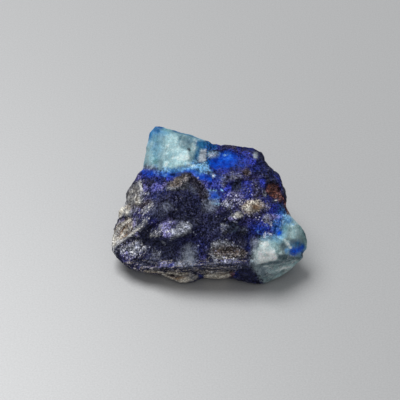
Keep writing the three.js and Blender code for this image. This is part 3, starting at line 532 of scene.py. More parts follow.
             L([(165, 169.6), (172, 170.4), (180, 169.6), (186, 168.2)], 1.6, 1.8, 0.8, 0.4), L([(155.4, 167), (156.2, 173)], 0.9, 1.8, -0.6, 0.4), L([(164, 168), (164.6, 175)], 0.8, 1.6, -0.4, 0.4), O(213, 196, 4.0, 4.0, 0, 3.4, -1.0, 0.6), O(213, 155, 5, 2.6, 5, 2.0, -0.4, 0.3), O(287, 219, 3.0, 2.6, -40, 2.4, -0.3, 0.6), O(192.4, 167.4, 5.6, 2.8, 5, 1.8, 1.1, 0.4),
             O(225.6, 155.6, 2.6, 1.4, 0, 2.0, -1.0, 0.4), L([(206, 170), (211, 174)], 1.0, 2.0, -0.7, 0.5), O(215.4, 201.6, 2.4, 2, 0, 1.8, 0.4, 0.5)],
    "sky": [O(275, 221, 5, 8, -15, 3.0, -1.0, 0.8), L([(200, 168), (208, 172.4)], 1.6, 1.4, -0.4, 0.6), L([(198, 168.6), (206, 171.4)], 1.0, 1.0, -0.1, 0.5), L([(186, 164.4), (191, 165.4), (196, 167.4)], 1.8, 1.6, 0.9, 0.5), L([(194.6, 164.8), (199, 168.6)], 0.9, 0.9, -0.2, 0.5), L([(206, 168), (210, 172)], 0.9, 0.9, -0.2, 0.5), L([(190, 164), (194, 165.4)], 1.2, 1.2, 0.4), O(203.6, 169.4, 4.4, 2.6, 30, 1.6, -0.2, 0.6),
            L([(203, 169.6), (208, 172), (211, 174)], 1.0, 1.1, -0.5), L([(164, 168), (167, 170.4)], 1.1, 1.2, 0.2, 0.4),
            O(286.8, 251.4, 2.2, 2.6, 0, 1.0, 1.6, 0.4), L([(277, 237.4), (283, 238)], 0.9, 0.9, 1.6, 0.3), L([(212, 203), (218.5, 204)], 1.1, 1.1, 1.4, 0.4), O(214, 176, 1.6, 1.0, 30, 0.8, 0.8, 0.3),
            O(287, 217.6, 2.6, 2.2, -40, 1.6, -0.3, 0.5), O(225.5, 155.4, 1.6, 0.8, 0, 0.8, 1.2, 0.3), O(181, 168.8, 3, 0.9, 0, 0.8, 0.8, 0.4), L([(260, 232), (266, 236)], 1.2, 1.5, -0.8), L([(221, 189.6), (223, 191.4)], 0.6, 0.6, 0.9, 0.2),
            L([(210, 190.4), (216.5, 190.4)], 0.45, 0.6, 0.4, 0.2), L([(206, 180), (205, 188)], 0.8, 1.2, -1.1), O(293, 224.6, 2.0, 1.0, 10, 0.8, 0.8, 0.3), L([(205.6, 162), (206, 167)], 0.7, 0.9, -0.9, 0.3), L([(209, 152), (207, 156)], 0.8, 0.8, 0.4, 0.3)],
    "snow": [P([(173, 158.6), (176, 156.4), (180, 154.6), (184, 149.8), (188, 151), (189.4, 156), (189, 159), (184, 160), (178, 160)], 1.2, 1.1, 0.5), O(173, 158.2, 1.2, 0.9, 0, 0.8, 1.4, 0.3), O(167.5, 153.5, 1.0, 1.0, 0, 0.8, 0.9, 0.3), O(176, 146, 5, 4, 0, 3.0, -0.6, 0.5),
             L([(194.8, 141), (193.4, 148)], 1.0, 1.8, -0.6, 0.3), L([(187, 164), (194, 166)], 0.9, 1.4, 0.1, 0.5), L([(165, 166), (166, 162)], 1.2, 1.6, 0.6, 0.4), O(168, 145, 2, 1.6, 0, 1.4, 0.8, 0.4),
             P([(258, 250), (261, 243), (268, 241.5), (271, 246), (277, 256), (268, 261), (256, 264), (254, 260)], 2.2, 0.9, 0.5),
             P([(259, 256), (263, 253), (270, 254), (274, 253.6), (277.4, 258), (275, 260.2), (267, 261), (257, 264.4)], 1.0, 2.0, 0.3), L([(284.5, 240), (287, 243.5), (290.2, 247)], 1.3, 1.1, 2.0, 0.4), O(281, 254, 2, 1.6, 0, 1.4, 0.2, 0.4),
             O(284.5, 267.6, 3, 0.8, -15, 0.7, 1.4, 0.2), O(287, 243, 2, 3, -30, 1.0, 0.6, 0.4), O(291.4, 226, 1.4, 0.8, 20, 0.9, 0.8, 0.3), O(295.4, 230, 1.2, 1.4, 0, 1.2, 0.4, 0.3)],
    # smooth faces of grey and bone-coloured mineral; the dark grey-green on the pale knob's lower facet and along its
    # right edge is painted shade
    "shade": [O(232, 227.6, 4.4, 3.4, 0, 2.0, -0.4, 0.6), O(237, 186, 4, 4, -30, 2.0, -0.5, 0.6), L([(290, 214.6), (296.6, 220), (303, 229), (306.2, 240)], 0.6, 1.0, 0.9, 0.2), P([(278, 254.6), (286, 254.6), (292, 256.6), (301, 257), (300, 259.6), (284, 260.2), (278.4, 259.6)], 1.0, 1.0, 0.3), L([(262, 264.4), (270, 262.8), (280, 261.8), (290, 260.6)], 1.2, 1.0, 1.2, 0.3), O(283.6, 246, 2.4, 3.0, 0, 1.6, 0.6, 0.4), L([(270, 267.6), (282, 265), (294, 262)], 0.8, 1.0, 0.4, 0.4), L([(265, 274), (274, 275), (284, 271)], 1.0, 1.2, 0.4, 0.4),
              L([(188.8, 148.6), (189.8, 150.4)], 0.6, 1.0, 0.1, 0.3), L([(304.6, 233), (305.8, 242)], 0.6, 1.2, 0.0, 0.3), L([(284, 219), (281, 228)], 1.0, 1.4, 0.0, 0.4)],
    "milk": [L([(195, 141), (193.2, 149)], 0.9, 1.8, -0.4, 0.3), P([(258, 250), (261, 243), (268, 241.5), (271, 246), (277, 256), (268, 261), (256, 264), (254, 260)], 2.6, 0.2, 0.4), P([(258, 257), (263, 252), (269, 251), (273, 252.4), (277.4, 258), (275, 260.4), (267, 261.2), (257, 264.6)], 1.0, 2.2, 0.25),
             L([(284.5, 240), (287, 243.5), (290.5, 247.5)], 0.8, 1.0, 0.0, 0.4), O(260.4, 254, 2.4, 3.0, 20, 1.6, 1.2, 0.4), L([(280, 269.6), (284, 268), (290, 266.6)], 0.8, 0.9, 1.0, 0.3), L([(264, 266.4), (268, 266.2)], 0.6, 0.7, 0.8, 0.2), L([(271, 272), (278, 270)], 0.5, 0.7, 0.2, 0.3)],
    "ash": [P([(128, 190), (134, 184), (140, 184), (141, 200), (137, 205), (127, 204), (126, 196)], 1.3, 1.3, 0.5), P([(129, 191), (134, 188), (136, 196), (130, 200), (128, 197)], 1.4, 1.6, 0.4), P([(112, 250), (113, 238), (116, 230), (121, 222), (131, 220), (134, 226), (129, 234), (120, 242)], 1.6, 0.5, 0.6), O(125, 211, 6, 6, 0, 1.6, 1.4, 0.5),
            L([(124, 239.5), (134, 232.5), (141, 226)], 1.2, 1.4, 0.5, 0.5), P([(172, 232), (178, 227), (184, 224), (191, 224), (191, 229), (189, 232), (183, 235), (176, 237.4), (171, 239)], 1.6, -0.5, 0.5), L([(151, 235), (158, 231.4), (164, 226.4)], 1.3, 1.8, -0.2, 0.6),
            P([(163, 273.6), (176, 274), (190, 273), (197, 276), (192, 281), (180, 282.6), (170, 279)], 1.4, 0.5, 0.4), P([(204.6, 274), (214, 271.6), (226, 272), (230.6, 275), (220, 279), (207, 278)], 1.4, 1.2, 0.4), O(219, 246, 5, 3.4, 0, 2.0, 0.4, 0.5), O(178, 182, 9, 3.6, 28, 2.0, -0.7, 0.5), O(229, 177, 5, 1.6, 0, 2.0, -1.0, 0.4),
            O(133, 248, 6, 4, -10, 2.4, -0.3, 0.5), O(266.6, 218, 3.4, 2.4, 0, 1.6, 0.0, 0.4)],
    # the bone patches under the lip (166..191, 274..283) are brightened on the shaded lobe: painted light
    "bone": [L([(206, 277.6), (217, 278.4), (227, 277.4)], 1.2, 1.2, 1.6, 0.3), P([(166, 274.6), (176, 275), (188, 275), (191, 279), (184, 282.4), (174, 281.6)], 1.6, 0.9, 0.4), L([(190, 275), (196, 277)], 1.6, 1.4, 0.8, 0.4), P([(129, 192), (135, 187), (139, 188), (139, 203), (134, 205), (129, 203)], 1.8, -0.2, 0.5), L([(120.6, 209), (120, 216)], 2.2, 1.4, 1.0, 0.4), O(126.6, 212.6, 2.6, 3, 0, 1.4, 0.6, 0.4), P([(243, 207), (247, 203), (255, 201.4), (260, 204), (261, 207.4), (257, 210), (251, 211.6), (246, 211)], 3.0, 0.0, 0.9), P([(170, 279), (176, 282.6), (186, 282.6), (190, 279.6), (180, 277.4)], 1.2, 1.2, 0.4),
             L([(207, 275.8), (216, 276.6), (227, 275.6)], 1.8, 1.4, 0.9, 0.4), O(129, 222.6, 3.6, 2.4, 20, 1.8, 0.6, 0.5), L([(113, 246), (118, 242.4), (124, 239)], 1.2, 1.2, 0.8, 0.4), O(238.4, 215, 3.6, 2.6, 0, 1.4, 1.6, 0.4), O(136, 198, 3, 3, 0, 1.8, 0.2, 0.4), O(247.4, 208.4, 3.0, 2.4, 0, 1.4, 1.2, 0.4)],
    # fine parallel scratches
    "silk": [L([(112, 248), (123, 240.5), (134, 232.5)], 2.2, 1.6, 0.0, 0.4), L([(134, 232.5), (145, 221)], 1.8, 1.6, 0.0, 0.4), L([(136, 222), (141, 213), (148, 206)], 4.0, 3.0, -1.1, 0.4), P([(151, 236), (158, 231), (165, 225), (167, 234), (154, 237)], 2.0, -0.3, 0.4), O(150, 198, 9, 9, -40, 4.0, -1.7, 0.5), L([(143, 211), (148, 208), (151, 204)], 1.8, 1.6, 0.2, 0.4), O(131, 249, 12, 7, -10, 3.0, -0.4, 0.4),
             P([(114, 243), (117, 228), (123, 219), (133, 219), (134, 227), (126, 238)], 2.0, -0.1, 0.4), P([(128, 186), (140, 184), (141, 204), (127, 204)], 2.0, -1.3, 0.4), O(232, 202, 9, 7, -20, 3.0, -1.2, 0.4), L([(272, 274), (296, 262)], 5, 3.0, -0.7, 0.4), O(140, 190, 5, 6, 0, 3.0, -0.8, 0.4)],
    "rill": [L([(128, 264.6), (141, 269.4), (160, 270.8), (180, 270.6), (205, 269.6), (232, 268)], 3.6, 2.0, 0.1, 0.4), L([(146, 264), (170, 266), (200, 265)], 3.0, 2.4, -0.5, 0.4), L([(166, 276), (194, 277)], 3.0, 2.0, -0.3, 0.3), L([(209, 275), (226, 274.6)], 2.6, 2.0, -0.5, 0.3), O(227, 257, 14, 5, 0, 2.6, -0.5, 0.4)],
    # brown, grey and cream crusts, with painted light in places: painted highlights (glints) and lit lower edges of
    # the lobes under the lip
    "brown": [O(181, 180, 10, 5, 30, 1.6, 1.6), O(172, 184.5, 5, 3.6, 40, 1.8, 0.7), P([(213, 245), (226, 244.5), (243, 249), (245, 256), (236, 259), (216, 258), (212, 252)], 2.0, 0.7),
              O(240.6, 174.6, 8, 2.4, -8, 2.6, -0.8), O(208, 272.5, 6, 2, 0, 1.5, 0.9), O(268, 219.5, 3, 2.6, 0, 1.5, -0.2), O(242, 254, 4, 4, 0, 1.8, 0.8), O(221, 275.5, 9, 2.6, 0, 1.8, 0.6), O(172, 277, 5, 1.6, 25, 1.2, 1.2, 0.4),
              O(124, 231, 5, 6, 20, 2.0, 1.1), O(253, 206, 9, 4, 10, 2.0, 0.3), O(133, 196, 6, 9, 0, 3.0, -0.2), O(257, 190, 4, 6, 0, 2.0, -0.7), O(248, 173, 3, 3, 0, 1.6, 0.2), O(186, 277.6, 3, 1.8, 0, 1.4, 0.8, 0.4)],
    "grey": [O(254, 206.4, 13, 6.6, 8, 2.4, -0.7, 0.8), O(186.6, 177, 3.0, 2.4, 30, 1.4, 0.5, 0.4), 
                P([(173, 231), (178, 228), (184, 226), (190.5, 226), (191, 229), (189, 232), (183, 235), (176, 237.4), (171, 239)], 1.8, 0.2, 0.5), P([(176, 228), (181, 222), (190, 222), (191, 228), (184, 230)], 1.6, -0.1, 0.5), L([(152, 234.6), (158, 230.6), (164, 225)], 1.0, 1.6, -0.1, 0.6), L([(152, 235.4), (160, 235)], 0.8, 1.0, 0.4, 0.4), L([(171, 236), (179, 233), (188, 230.5)], 2.4, 1.6, 0.2, 0.5),
        P([(128, 190), (134, 184), (140, 184), (141, 200), (137, 205), (127, 204), (126, 196)], 1.3, -0.8, 0.7), L([(140, 182), (141.5, 192), (141, 202)], 1.8, 1.2, 1.0, 0.5), O(131, 197, 1.2, 1.0, 0, 0.8, 1.2, 0.3),
        L([(112, 247.6), (119, 243), (124, 239.4)], 2.2, 1.2, 1.3, 0.6), L([(124, 239), (129, 235.6)], 1.3, 1.1, 1.0, 0.6), L([(131, 234), (135, 231), (139, 228)], 2.2, 1.3, 0.6, 0.8), L([(139.6, 230), (142.5, 225), (145, 221)], 1.6, 1.6, 0.6, 0.7), P([(112, 246), (113, 238), (118, 233), (122, 238), (118, 243)], 1.4, 1.0, 0.6),
        L([(142, 213), (147, 209), (150, 205.6)], 1.8, 1.4, 0.5), L([(126, 206), (134, 209)], 3.8, 1.6, 1.1), O(130, 211, 5, 4, 0, 2.0, 0.7), L([(135, 226), (136, 218)], 1.4, 1.4, 0.6, 0.6),
        L([(152, 203), (157, 196), (161, 191)], 1.2, 1.5, -0.9), O(228, 178, 7, 2.0, 5, 2.0, -0.9), O(223, 183, 2.4, 4, 20, 1.4, -0.1), O(236, 175.4, 4, 1.6, -20, 1.6, -0.7),
        P([(213, 243), (220, 240.5), (230, 242.4), (229, 246), (218, 249), (213, 249)], 2.0, 1.0), L([(213, 246), (211.6, 254), (216, 260)], 1.8, 1.6, 0.8), P([(218, 256), (228, 254), (240, 255.4), (236, 260.5), (222, 261)], 2.0, 0.3), L([(231, 244), (240, 248)], 1.4, 1.6, 0.2), O(226, 249, 4, 1.6, 30, 1.6, -0.4),
        L([(221, 224), (228, 226)], 0.9, 1.3, 0.1), L([(223, 229), (226, 232)], 0.8, 1.2, -0.2), O(235, 206, 9, 6, -20, 2.5, -0.8), L([(232, 216), (240, 215)], 2.4, 1.5, 1.2),
        O(229, 204, 4, 3, -20, 1.6, -0.1), O(268, 217, 4, 2.6, 0, 1.6, 0.2), L([(265, 222), (269, 222.6)], 1.2, 1.0, 0.6), O(133, 240.6, 4, 1.6, 30, 1.3, 0.0), O(132, 247, 9, 4.6, -15, 2.2, 0.3), O(122, 250, 3.4, 3.2, 0, 1.5, 0.8),
        L([(113.5, 251), (115, 257), (119, 262)], 1.4, 1.1, 0.9, 0.4), O(204, 189, 1.6, 2.4, 0, 1.2, -0.6), O(264.6, 193.6, 1.6, 3.0, 15, 1.0, 1.4, 0.5),
        L([(168, 188), (174, 189), (184, 187)], 1.6, 1.5, 0.3), O(190, 277, 6, 3, 0, 1.6, 0.4, 0.5), L([(113, 236), (117, 228)], 2.2, 1.5, 1.2, 0.5), L([(137, 240), (141, 248)], 3.0, 2.4, 0.2), L([(206, 194), (204, 200)], 1.5, 1.5, -0.3), L([(161.6, 272.6), (167, 276.6), (174, 281)], 1.2, 0.9, 1.6, 0.4),
        L([(196, 183), (203, 190)], 3, 2.4, -0.6), O(206, 273.6, 3.4, 2.0, 0, 1.6, 0.7, 0.5), O(228, 272.6, 3.4, 1.8, 0, 1.6, 0.2, 0.5), P([(184, 275), (190, 274), (196, 276), (193, 279), (187, 279)], 1.4, -0.3, 0.4), O(156, 254, 3, 3.6, 0, 1.6, -0.4), O(185, 182, 4, 3, 20, 2.0, 0.2), L([(162, 241.6), (165, 244)], 0.9, 0.9, 0.4, 0.4)],
    "frost": [L([(221, 224.4), (225, 224.8), (228, 226.2)], 0.4, 0.8, 0.8, 0.5), L([(223.6, 228), (227.6, 230.6)], 0.3, 0.8, 0.6, 0.5), L([(233, 221), (237, 222.4)], 0.4, 0.8, 0.3, 0.5), O(213.6, 175.6, 0.9, 1.7, 0, 0.8, 0.8, 0.4), O(236, 197, 4.5, 5, 0, 2.0, -0.9), O(148.5, 193.5, 1.05, 0.90, 0, 1.0, 0.8, 0.4), L([(172, 236), (176, 231), (182, 230)], 1.4, 1.4, -0.1, 0.4), O(172.5, 231.6, 2, 2.6, 20, 1.2, 0.6, 0.5),
              O(187, 227, 2, 1.6, 0, 1.2, 0.3), O(122, 251, 2, 2, 0, 1.2, 0.9, 0.6), O(137, 246, 2.4, 4, 0, 1.5, 0.7, 0.6), O(132, 252.2, 3.6, 1.3, 15, 0.9, 1.6, 0.4), L([(129, 255), (134, 255)], 0.7, 0.8, 1.0, 0.3), L([(152, 231), (157, 229)], 0.8, 1.2, -0.8), O(212, 154.4, 3.0, 1.4, 0, 1.4, 0.0, 0.4),
              L([(222, 203.6), (230, 205.4)], 0.8, 1.2, -0.1), O(230, 203, 2.6, 1.4, 0, 1.2, -0.5), O(262.5, 176, 1.8, 1.0, 20, 1.2, -1.0, 0.5), L([(224, 261), (229, 262), (234, 260)], 0.9, 0.9, 0.6, 0.4), O(168, 205, 1.4, 1.0, 0, 1.2, -1.2), O(198, 178, 0.75, 0.75, 0, 0.8, 0.9, 0.3),
              L([(176, 263.4), (180, 263.4), (183.6, 264.6)], 0.9, 0.8, 1.6, 0.2), O(144, 248, 1.6, 1.4, 0, 1.0, 0.2), O(150, 247, 1.05, 0.75, -20, 0.8, 0.6, 0.4), O(158, 253, 1.6, 2.0, 0, 1.2, 0.0), O(271, 224.6, 1.0, 1.6, 0, 0.9, 1.0, 0.3), O(270, 234, 2, 1.0, -20, 0.9, 0.6, 0.4), L([(265, 232), (264, 237)], 0.8, 0.9, 0.6, 0.4),
              O(186, 216, 0.60, 0.60, 0, 0.7, 0.4, 0.3), O(195.4, 234.6, 0.68, 0.68, 0, 0.7, 1.4, 0.2), O(193.4, 232.2, 0.60, 0.52, 0, 0.7, 0.8, 0.2), O(176.2, 209.4, 0.52, 0.52, 0, 0.6, 1.0, 0.2), O(198.4, 245.4, 0.68, 0.60, 0, 0.7, 0.7, 0.2), O(187.4, 222.4, 0.45, 0.45, 0, 0.6, 1.4, 0.2)],
    # the first line, along the lower edge of the lobe under the lip, is painted light
    "white": [L([(171, 280.6), (179, 282.4), (188, 280.2)], 1.4, 1.1, 1.6, 0.3), O(236.6, 216.4, 3.6, 2.2, 0, 1.4, 0.4, 0.5), 
        O(136.5, 198, 2.4, 1.8, 0, 1.2, 1.0, 0.6), L([(140, 183), (141, 190)], 1.2, 1.0, 0.5, 0.5), L([(112, 247), (117, 243.6), (122, 240)], 0.9, 1.0, 0.7, 0.5), O(133.4, 232.4, 0.98, 0.75, 0, 0.8, 1.4, 0.3), O(138, 236, 0.75, 0.90, 0, 0.7, 1.4, 0.3), L([(129, 236), (131, 234.6)], 0.9, 0.9, 0.5, 0.4), L([(152, 235.8), (158.6, 235.9)], 0.6, 0.7, 0.9, 0.2),
        O(127, 212, 2.2, 2.2, 0, 1.0, 1.5, 0.5), L([(121, 207), (119.5, 216)], 2.6, 1.2, 1.8, 0.6), O(135.6, 237.4, 0.68, 0.52, 0, 0.6, 1.2, 0.2), O(130, 200, 4, 3, 0, 2.0, -0.5, 0.6), O(138, 201, 2.4, 4, 0, 1.6, 0.1, 0.6), L([(149, 207), (150.6, 206)], 0.9, 0.8, 0.9, 0.4),
        O(243.5, 207.6, 0.90, 0.90, 0, 0.8, 2.0, 0.3), O(276, 200.4, 0.75, 0.60, 0, 0.7, 1.4, 0.2), O(247.5, 209, 2.6, 1.8, 0, 1.3, 0.5, 0.5),
        O(149, 218.4, 0.83, 0.60, 0, 0.6, 2.0, 0.1), L([(210, 271.5), (213, 271)], 1.1, 0.7, 1.5, 0.3), O(222, 257.6, 6, 1.2, -8, 1.3, 0.0), O(238.5, 215, 2.4, 1.6, 0, 1.2, 1.2), L([(113, 241), (116, 232), (119, 227)], 1.0, 1.2, 0.5, 0.6), O(141.6, 243.6, 0.52, 0.52, 0, 0.6, 1.0, 0.2)],
    "cream": [
        P([(117, 237), (117, 227), (122, 219), (132, 219), (135, 225), (131, 233), (122, 239)], 1.6, 0.0, 0.8), L([(113.5, 240), (114.5, 232), (118, 227)], 1.6, 1.3, 0.4, 0.6), P([(116, 238), (120, 234), (127, 236), (121, 240)], 1.2, 1.2, 0.5),
        # the line along (170..187, 279..282), the under-lobe's lower edge, is painted light
        P([(242, 207), (247, 202), (256, 200.6), (262, 203), (265, 207), (259, 211), (251, 213), (245, 212)], 2.8, 0.2), L([(260, 204), (267, 207)], 2.0, 2.2, -0.9), O(248, 208, 5, 4, 0, 2.0, 0.2), L([(170, 279), (174, 281), (180, 282), (187, 281)], 2.0, 1.2, 2.6, 0.3), L([(176, 279), (186, 279)], 2.0, 1.4, 0.8, 0.4),
        L([(168, 272.9), (178, 273.6), (187, 274)], 1.2, 0.9, 1.3, 0.5), L([(207, 275.4), (216, 276), (227, 275)], 2.2, 1.6, 0.3, 0.5), L([(144, 271.2), (152, 271.8), (162, 272.6)], 0.8, 0.7, 1.3, 0.2), L([(161.6, 272.6), (167, 276.6), (174, 281)], 1.0, 0.8, 0.9, 0.3),
        O(136, 192, 3, 5, 0, 2.0, -1.0), O(129, 207, 3, 3, 0, 2.0, 0.0)],
    "chalk": [P([(200.4, 150), (206, 149.6), (206.2, 160.4), (202, 162), (198.4, 162), (200, 154)], 1.3, 1.6, 0.3), O(212.8, 155, 4.6, 2.2, 5, 1.4, -0.8, 0.2), P([(253.6, 152.6), (257.2, 152), (258.2, 156), (256, 158.6), (253.8, 157.6)], 0.8, 1.2, 0.3)],
    # pale cream mineral, and painted light: brightened lower edges of the lobes under the lip, which lie in shade, and
    # painted highlights along the left ridge
    "ivory": [L([(119, 229), (124, 224), (130, 221)], 1.0, 1.2, 0.6, 0.5), L([(121, 236), (127, 230), (131, 227)], 1.0, 1.0, 0.5, 0.5), O(131, 191, 2.6, 4, 10, 1.8, -0.9, 0.5), O(137, 202, 2, 2.6, 0, 1.4, 0.3, 0.5), O(247.4, 207.6, 3.6, 2.6, 0, 1.6, 0.6, 0.4), L([(249, 203), (257, 202.4)], 1.2, 1.4, -0.2, 0.5), O(214, 275, 7, 2, 3, 1.6, 0.6, 0.5), O(187, 279.4, 4.4, 1.6, 0, 1.4, 0.8, 0.5), L([(147, 270.6), (160, 271.6)], 0.5, 0.7, 0.8, 0.3), L([(170, 280), (178, 282), (187, 280.6)], 1.4, 1.2, 2.0, 0.3), L([(166, 273.2), (178, 273.8), (187, 274.2)], 0.8, 0.8, 1.3, 0.4), L([(162, 272.8), (167, 276.6), (173, 280.2)], 1.1, 0.9, 1.6, 0.3),
              L([(206.6, 276), (213, 277.2), (224, 277), (229, 275.4)], 1.2, 1.2, 1.0, 0.4), L([(121.6, 208), (120, 215)], 2.2, 1.2, 1.2, 0.5), O(127, 212, 1.8, 1.8, 0, 1.0, 0.8, 0.4), L([(113.6, 244), (116, 241), (119, 238.8)], 1.1, 1.1, 0.6, 0.5), O(113.6, 240, 1.6, 4, 10, 1.4, 0.2, 0.4),
              O(136.5, 198, 1.8, 1.4, 0, 1.0, 0.6, 0.4), O(130.4, 199, 2.6, 3.4, 20, 1.6, -0.7, 0.5), L([(133, 233), (139, 228.6)], 0.9, 1.0, 0.7, 0.4), O(238.4, 215.4, 2.4, 1.6, 0, 1.3, 0.4), O(181, 279.6, 1.6, 1.0, 0, 0.8, 2.0, 0.3)],
    "ochre": [O(272.6, 190.6, 2.4, 1.6, 0, 1.2, 0.2, 0.5), O(276, 195, 2, 1.6, 30, 1.2, -0.2, 0.5), O(123.6, 232, 4.6, 4.4, 30, 1.8, 0.8, 0.7), O(129, 226, 2.6, 3.4, 30, 1.6, 0.0, 0.7), O(255.6, 207, 3.0, 2.0, 0, 1.6, 0.7, 0.6), O(250, 206, 4, 2.4, 0, 2.0, -0.6, 0.6), P([(169, 276.4), (176, 276.8), (185, 277), (184, 279.4), (177, 280.4), (171, 278.8)], 1.2, 0.9, 0.4), L([(208, 274.6), (222, 275.6)], 1.6, 1.6, -0.4, 0.4), O(180, 181, 7, 3, 30, 2.0, -0.7, 0.5), O(228, 252, 10, 3, 0, 2.0, -0.8, 0.5)],
    # the patch at (167..184, 275..278) darkens the top of the lobe under the lip: painted shade
    "umber": [O(122, 228, 3.0, 3.4, 30, 1.4, 0.8), O(129, 226, 2.0, 3.0, 30, 1.4, 0.6), O(126, 231, 1.6, 1.4, 0, 1.2, 1.0, 0.4), O(127, 233, 4, 2, -20, 1.5, 0.8), O(120, 234, 2, 2.4, 0, 1.4, 0.4), P([(167, 275), (176, 275.4), (184, 276), (178, 278.4), (171, 277.6)], 1.0, 1.6, 0.3), L([(214, 250), (222, 252.4), (230, 250.6), (238, 251.6)], 1.5, 1.4, 0.9), L([(222, 255), (231, 257), (238, 255.6)], 1.0, 1.2, 0.5), L([(219, 246), (228, 247)], 1.0, 1.2, 0.2),
              O(225, 250, 12, 3.5, 0, 2.0, 0.1), O(246, 172, 3.6, 3.6, 0, 1.6, 1.4), L([(134, 205), (143, 206), (150, 201)], 2.0, 1.6, 0.2), L([(193, 180), (201, 188), (204, 196)], 3.0, 2.5, 0.2), O(231, 272, 2.4, 1.4, 0, 1.0, 0.8),
              O(255.4, 206.6, 2, 1.4, 0, 1.2, -0.2), L([(227, 146), (235, 146.8)], 1.0, 1.2, 0.6, 0.4), O(185, 176, 5, 3, 20, 2.0, -0.2), O(268, 219.4, 1.5, 1.2, 0, 1.0, 1.4, 0.3)],
    "rust": [P([(268, 185), (273, 183), (279, 186), (281, 195), (277, 199), (270, 195.6), (266, 191)], 1.8, 1.3, 0.7), L([(279, 195), (281, 199)], 2.6, 1.4, 1.3, 0.5), L([(284.6, 201), (286.4, 207), (288.4, 213)], 1.2, 1.2, 1.6, 0.4), O(232, 274, 2, 2, 0, 1.5, 0.2), O(257, 205.6, 3, 2, 0, 1.5, -0.6)],
    "lilac": [O(156, 187, 3.4, 3.2, 20, 2.0, -0.1, 0.6), O(145.6, 188, 2.6, 2.4, 0, 1.8, -0.3, 0.6), L([(155, 168), (156, 174)], 0.8, 1.6, -0.8, 0.4), P([(162, 223), (165, 218.6), (171.6, 218), (171, 222), (171, 226), (170, 232), (169, 237.6), (163, 236), (161, 230)], 1.8, 0.5, 0.6), O(154, 204, 4, 5, -35, 2.5, -1.4), O(146, 194, 4, 5, 0, 2.5, -0.9),
              O(121.5, 219, 2.6, 3.0, -30, 1.5, 0.8, 0.6), L([(134.6, 219), (134, 226)], 1.4, 1.3, 0.4, 0.6), O(227, 260.5, 6, 1.3, -5, 1.0, 0.7), L([(165, 183), (162, 188)], 1.2, 1.0, 0.9, 0.5), O(137, 234, 2, 2.6, 30, 1.2, 0.5), O(173.6, 223.4, 2.0, 1.2, 30, 1.2, 0.2, 0.3),
              O(274.5, 217, 4.4, 2.0, 0, 1.6, 0.9), O(139, 176.5, 1.4, 1.6, 0, 1.0, 0.6, 0.4), O(137, 212, 4, 5, 30, 2.0, -0.7), O(236, 196, 6, 4, 0, 2.5, -0.5), L([(230, 218), (236, 219)], 1.2, 1.0, 0.8),
              O(127, 243, 6, 1.6, 30, 1.2, -0.1), O(205, 185, 2.0, 4, 0, 1.5, -0.6), O(127, 255, 5, 2, -20, 2.0, 0.1), O(163, 264.4, 4, 2.4, 20, 1.6, 0.2), L([(148, 266.4), (156, 266.6)], 0.7, 0.8, 0.4, 0.2), O(169, 235, 3, 3, 0, 1.6, 0.6)],
    # painted highlights: small bright glints painted into the colour
    "glint": [O(211.6, 272.2, 1.4, 0.7, 5, 0.7, 1.4, 0.3), O(167.8, 231.6, 2.0, 1.2, 10, 1.0, 1.2, 0.4), O(260.4, 254, 1.8, 2.2, 30, 1.0, 1.2, 0.3), O(274, 257.6, 2.6, 1.6, -15, 1.0, 1.4, 0.3), O(131.8, 252, 1.5, 0.7, 10, 0.7, 1.4, 0.2), O(170, 222, 1.4, 0.7, 0, 0.8, 0.0, 0.3)],
    # dark cracks, and painted shade: darkening painted into grooves, hollows, under the crest and the lip, and along
    # the right rim
    "crack_and_shade": [L([(202, 274.4), (210, 273.2), (222, 274.0), (230, 273.6)], 0.7, 1.0, 0.5, 0.5), O(135, 186.6, 4, 2.6, -30, 1.8, -0.3, 0.6), O(134.4, 195, 1.6, 1.3, 0, 1.0, 0.8, 0.4), O(128.6, 201.8, 1.8, 0.9, -10, 0.9, 0.9, 0.3), L([(131, 206), (134, 211), (131, 217)], 1.0, 1.2, 0.6, 0.5), O(176, 202, 14, 8, 0, 5.0, -0.1, 0.6), O(158, 206, 6, 4, -40, 3.0, 0.0, 0.6), O(184, 212, 8, 5, 0, 4.0, 0.2, 0.6), L([(129, 201), (133, 194), (138, 189)], 0.6, 0.8, 0.6, 0.4), L([(134, 204), (137, 198), (138.6, 192)], 0.5, 0.8, 0.5, 0.4), L([(126.6, 198), (128.4, 190), (132, 184.6)], 0.7, 0.9, 1.0, 0.3), L([(117, 223), (121, 218), (125, 217)], 0.9, 1.0, 0.8, 0.4), L([(160, 217), (176, 216.4), (190, 218)], 2.6, 2.6, 0.2, 0.5), O(244, 234, 6, 7, 0, 3.4, 0.1, 0.5), 
        L([(130, 189), (133, 184)], 1.4, 1.0, 1.2, 0.4), L([(119, 247), (126, 243.4), (133, 240), (141, 238.6)], 2.2, 1.3, 1.3, 0.5), L([(173.6, 225.6), (171.6, 228.4), (170.8, 230)], 1.0, 0.9, 1.6, 0.4), O(152, 229, 8, 4, -28, 2.4, 1.0, 0.5), O(148, 234, 3, 4, 0, 1.8, 1.0, 0.5), O(155, 241.4, 7, 1.6, 0, 1.6, 0.6, 0.5), L([(187.6, 149.0), (189.4, 149.6)], 0.4, 0.9, 0.15, 0.3),
        O(241, 242, 8, 6, 0, 3.0, 1.2), L([(171, 174.4), (180, 173.4), (190, 174.4), (195, 178)], 1.0, 1.2, 0.9, 0.5), L([(191, 180), (200, 188), (204, 196)], 3.0, 2.5, 0.8),
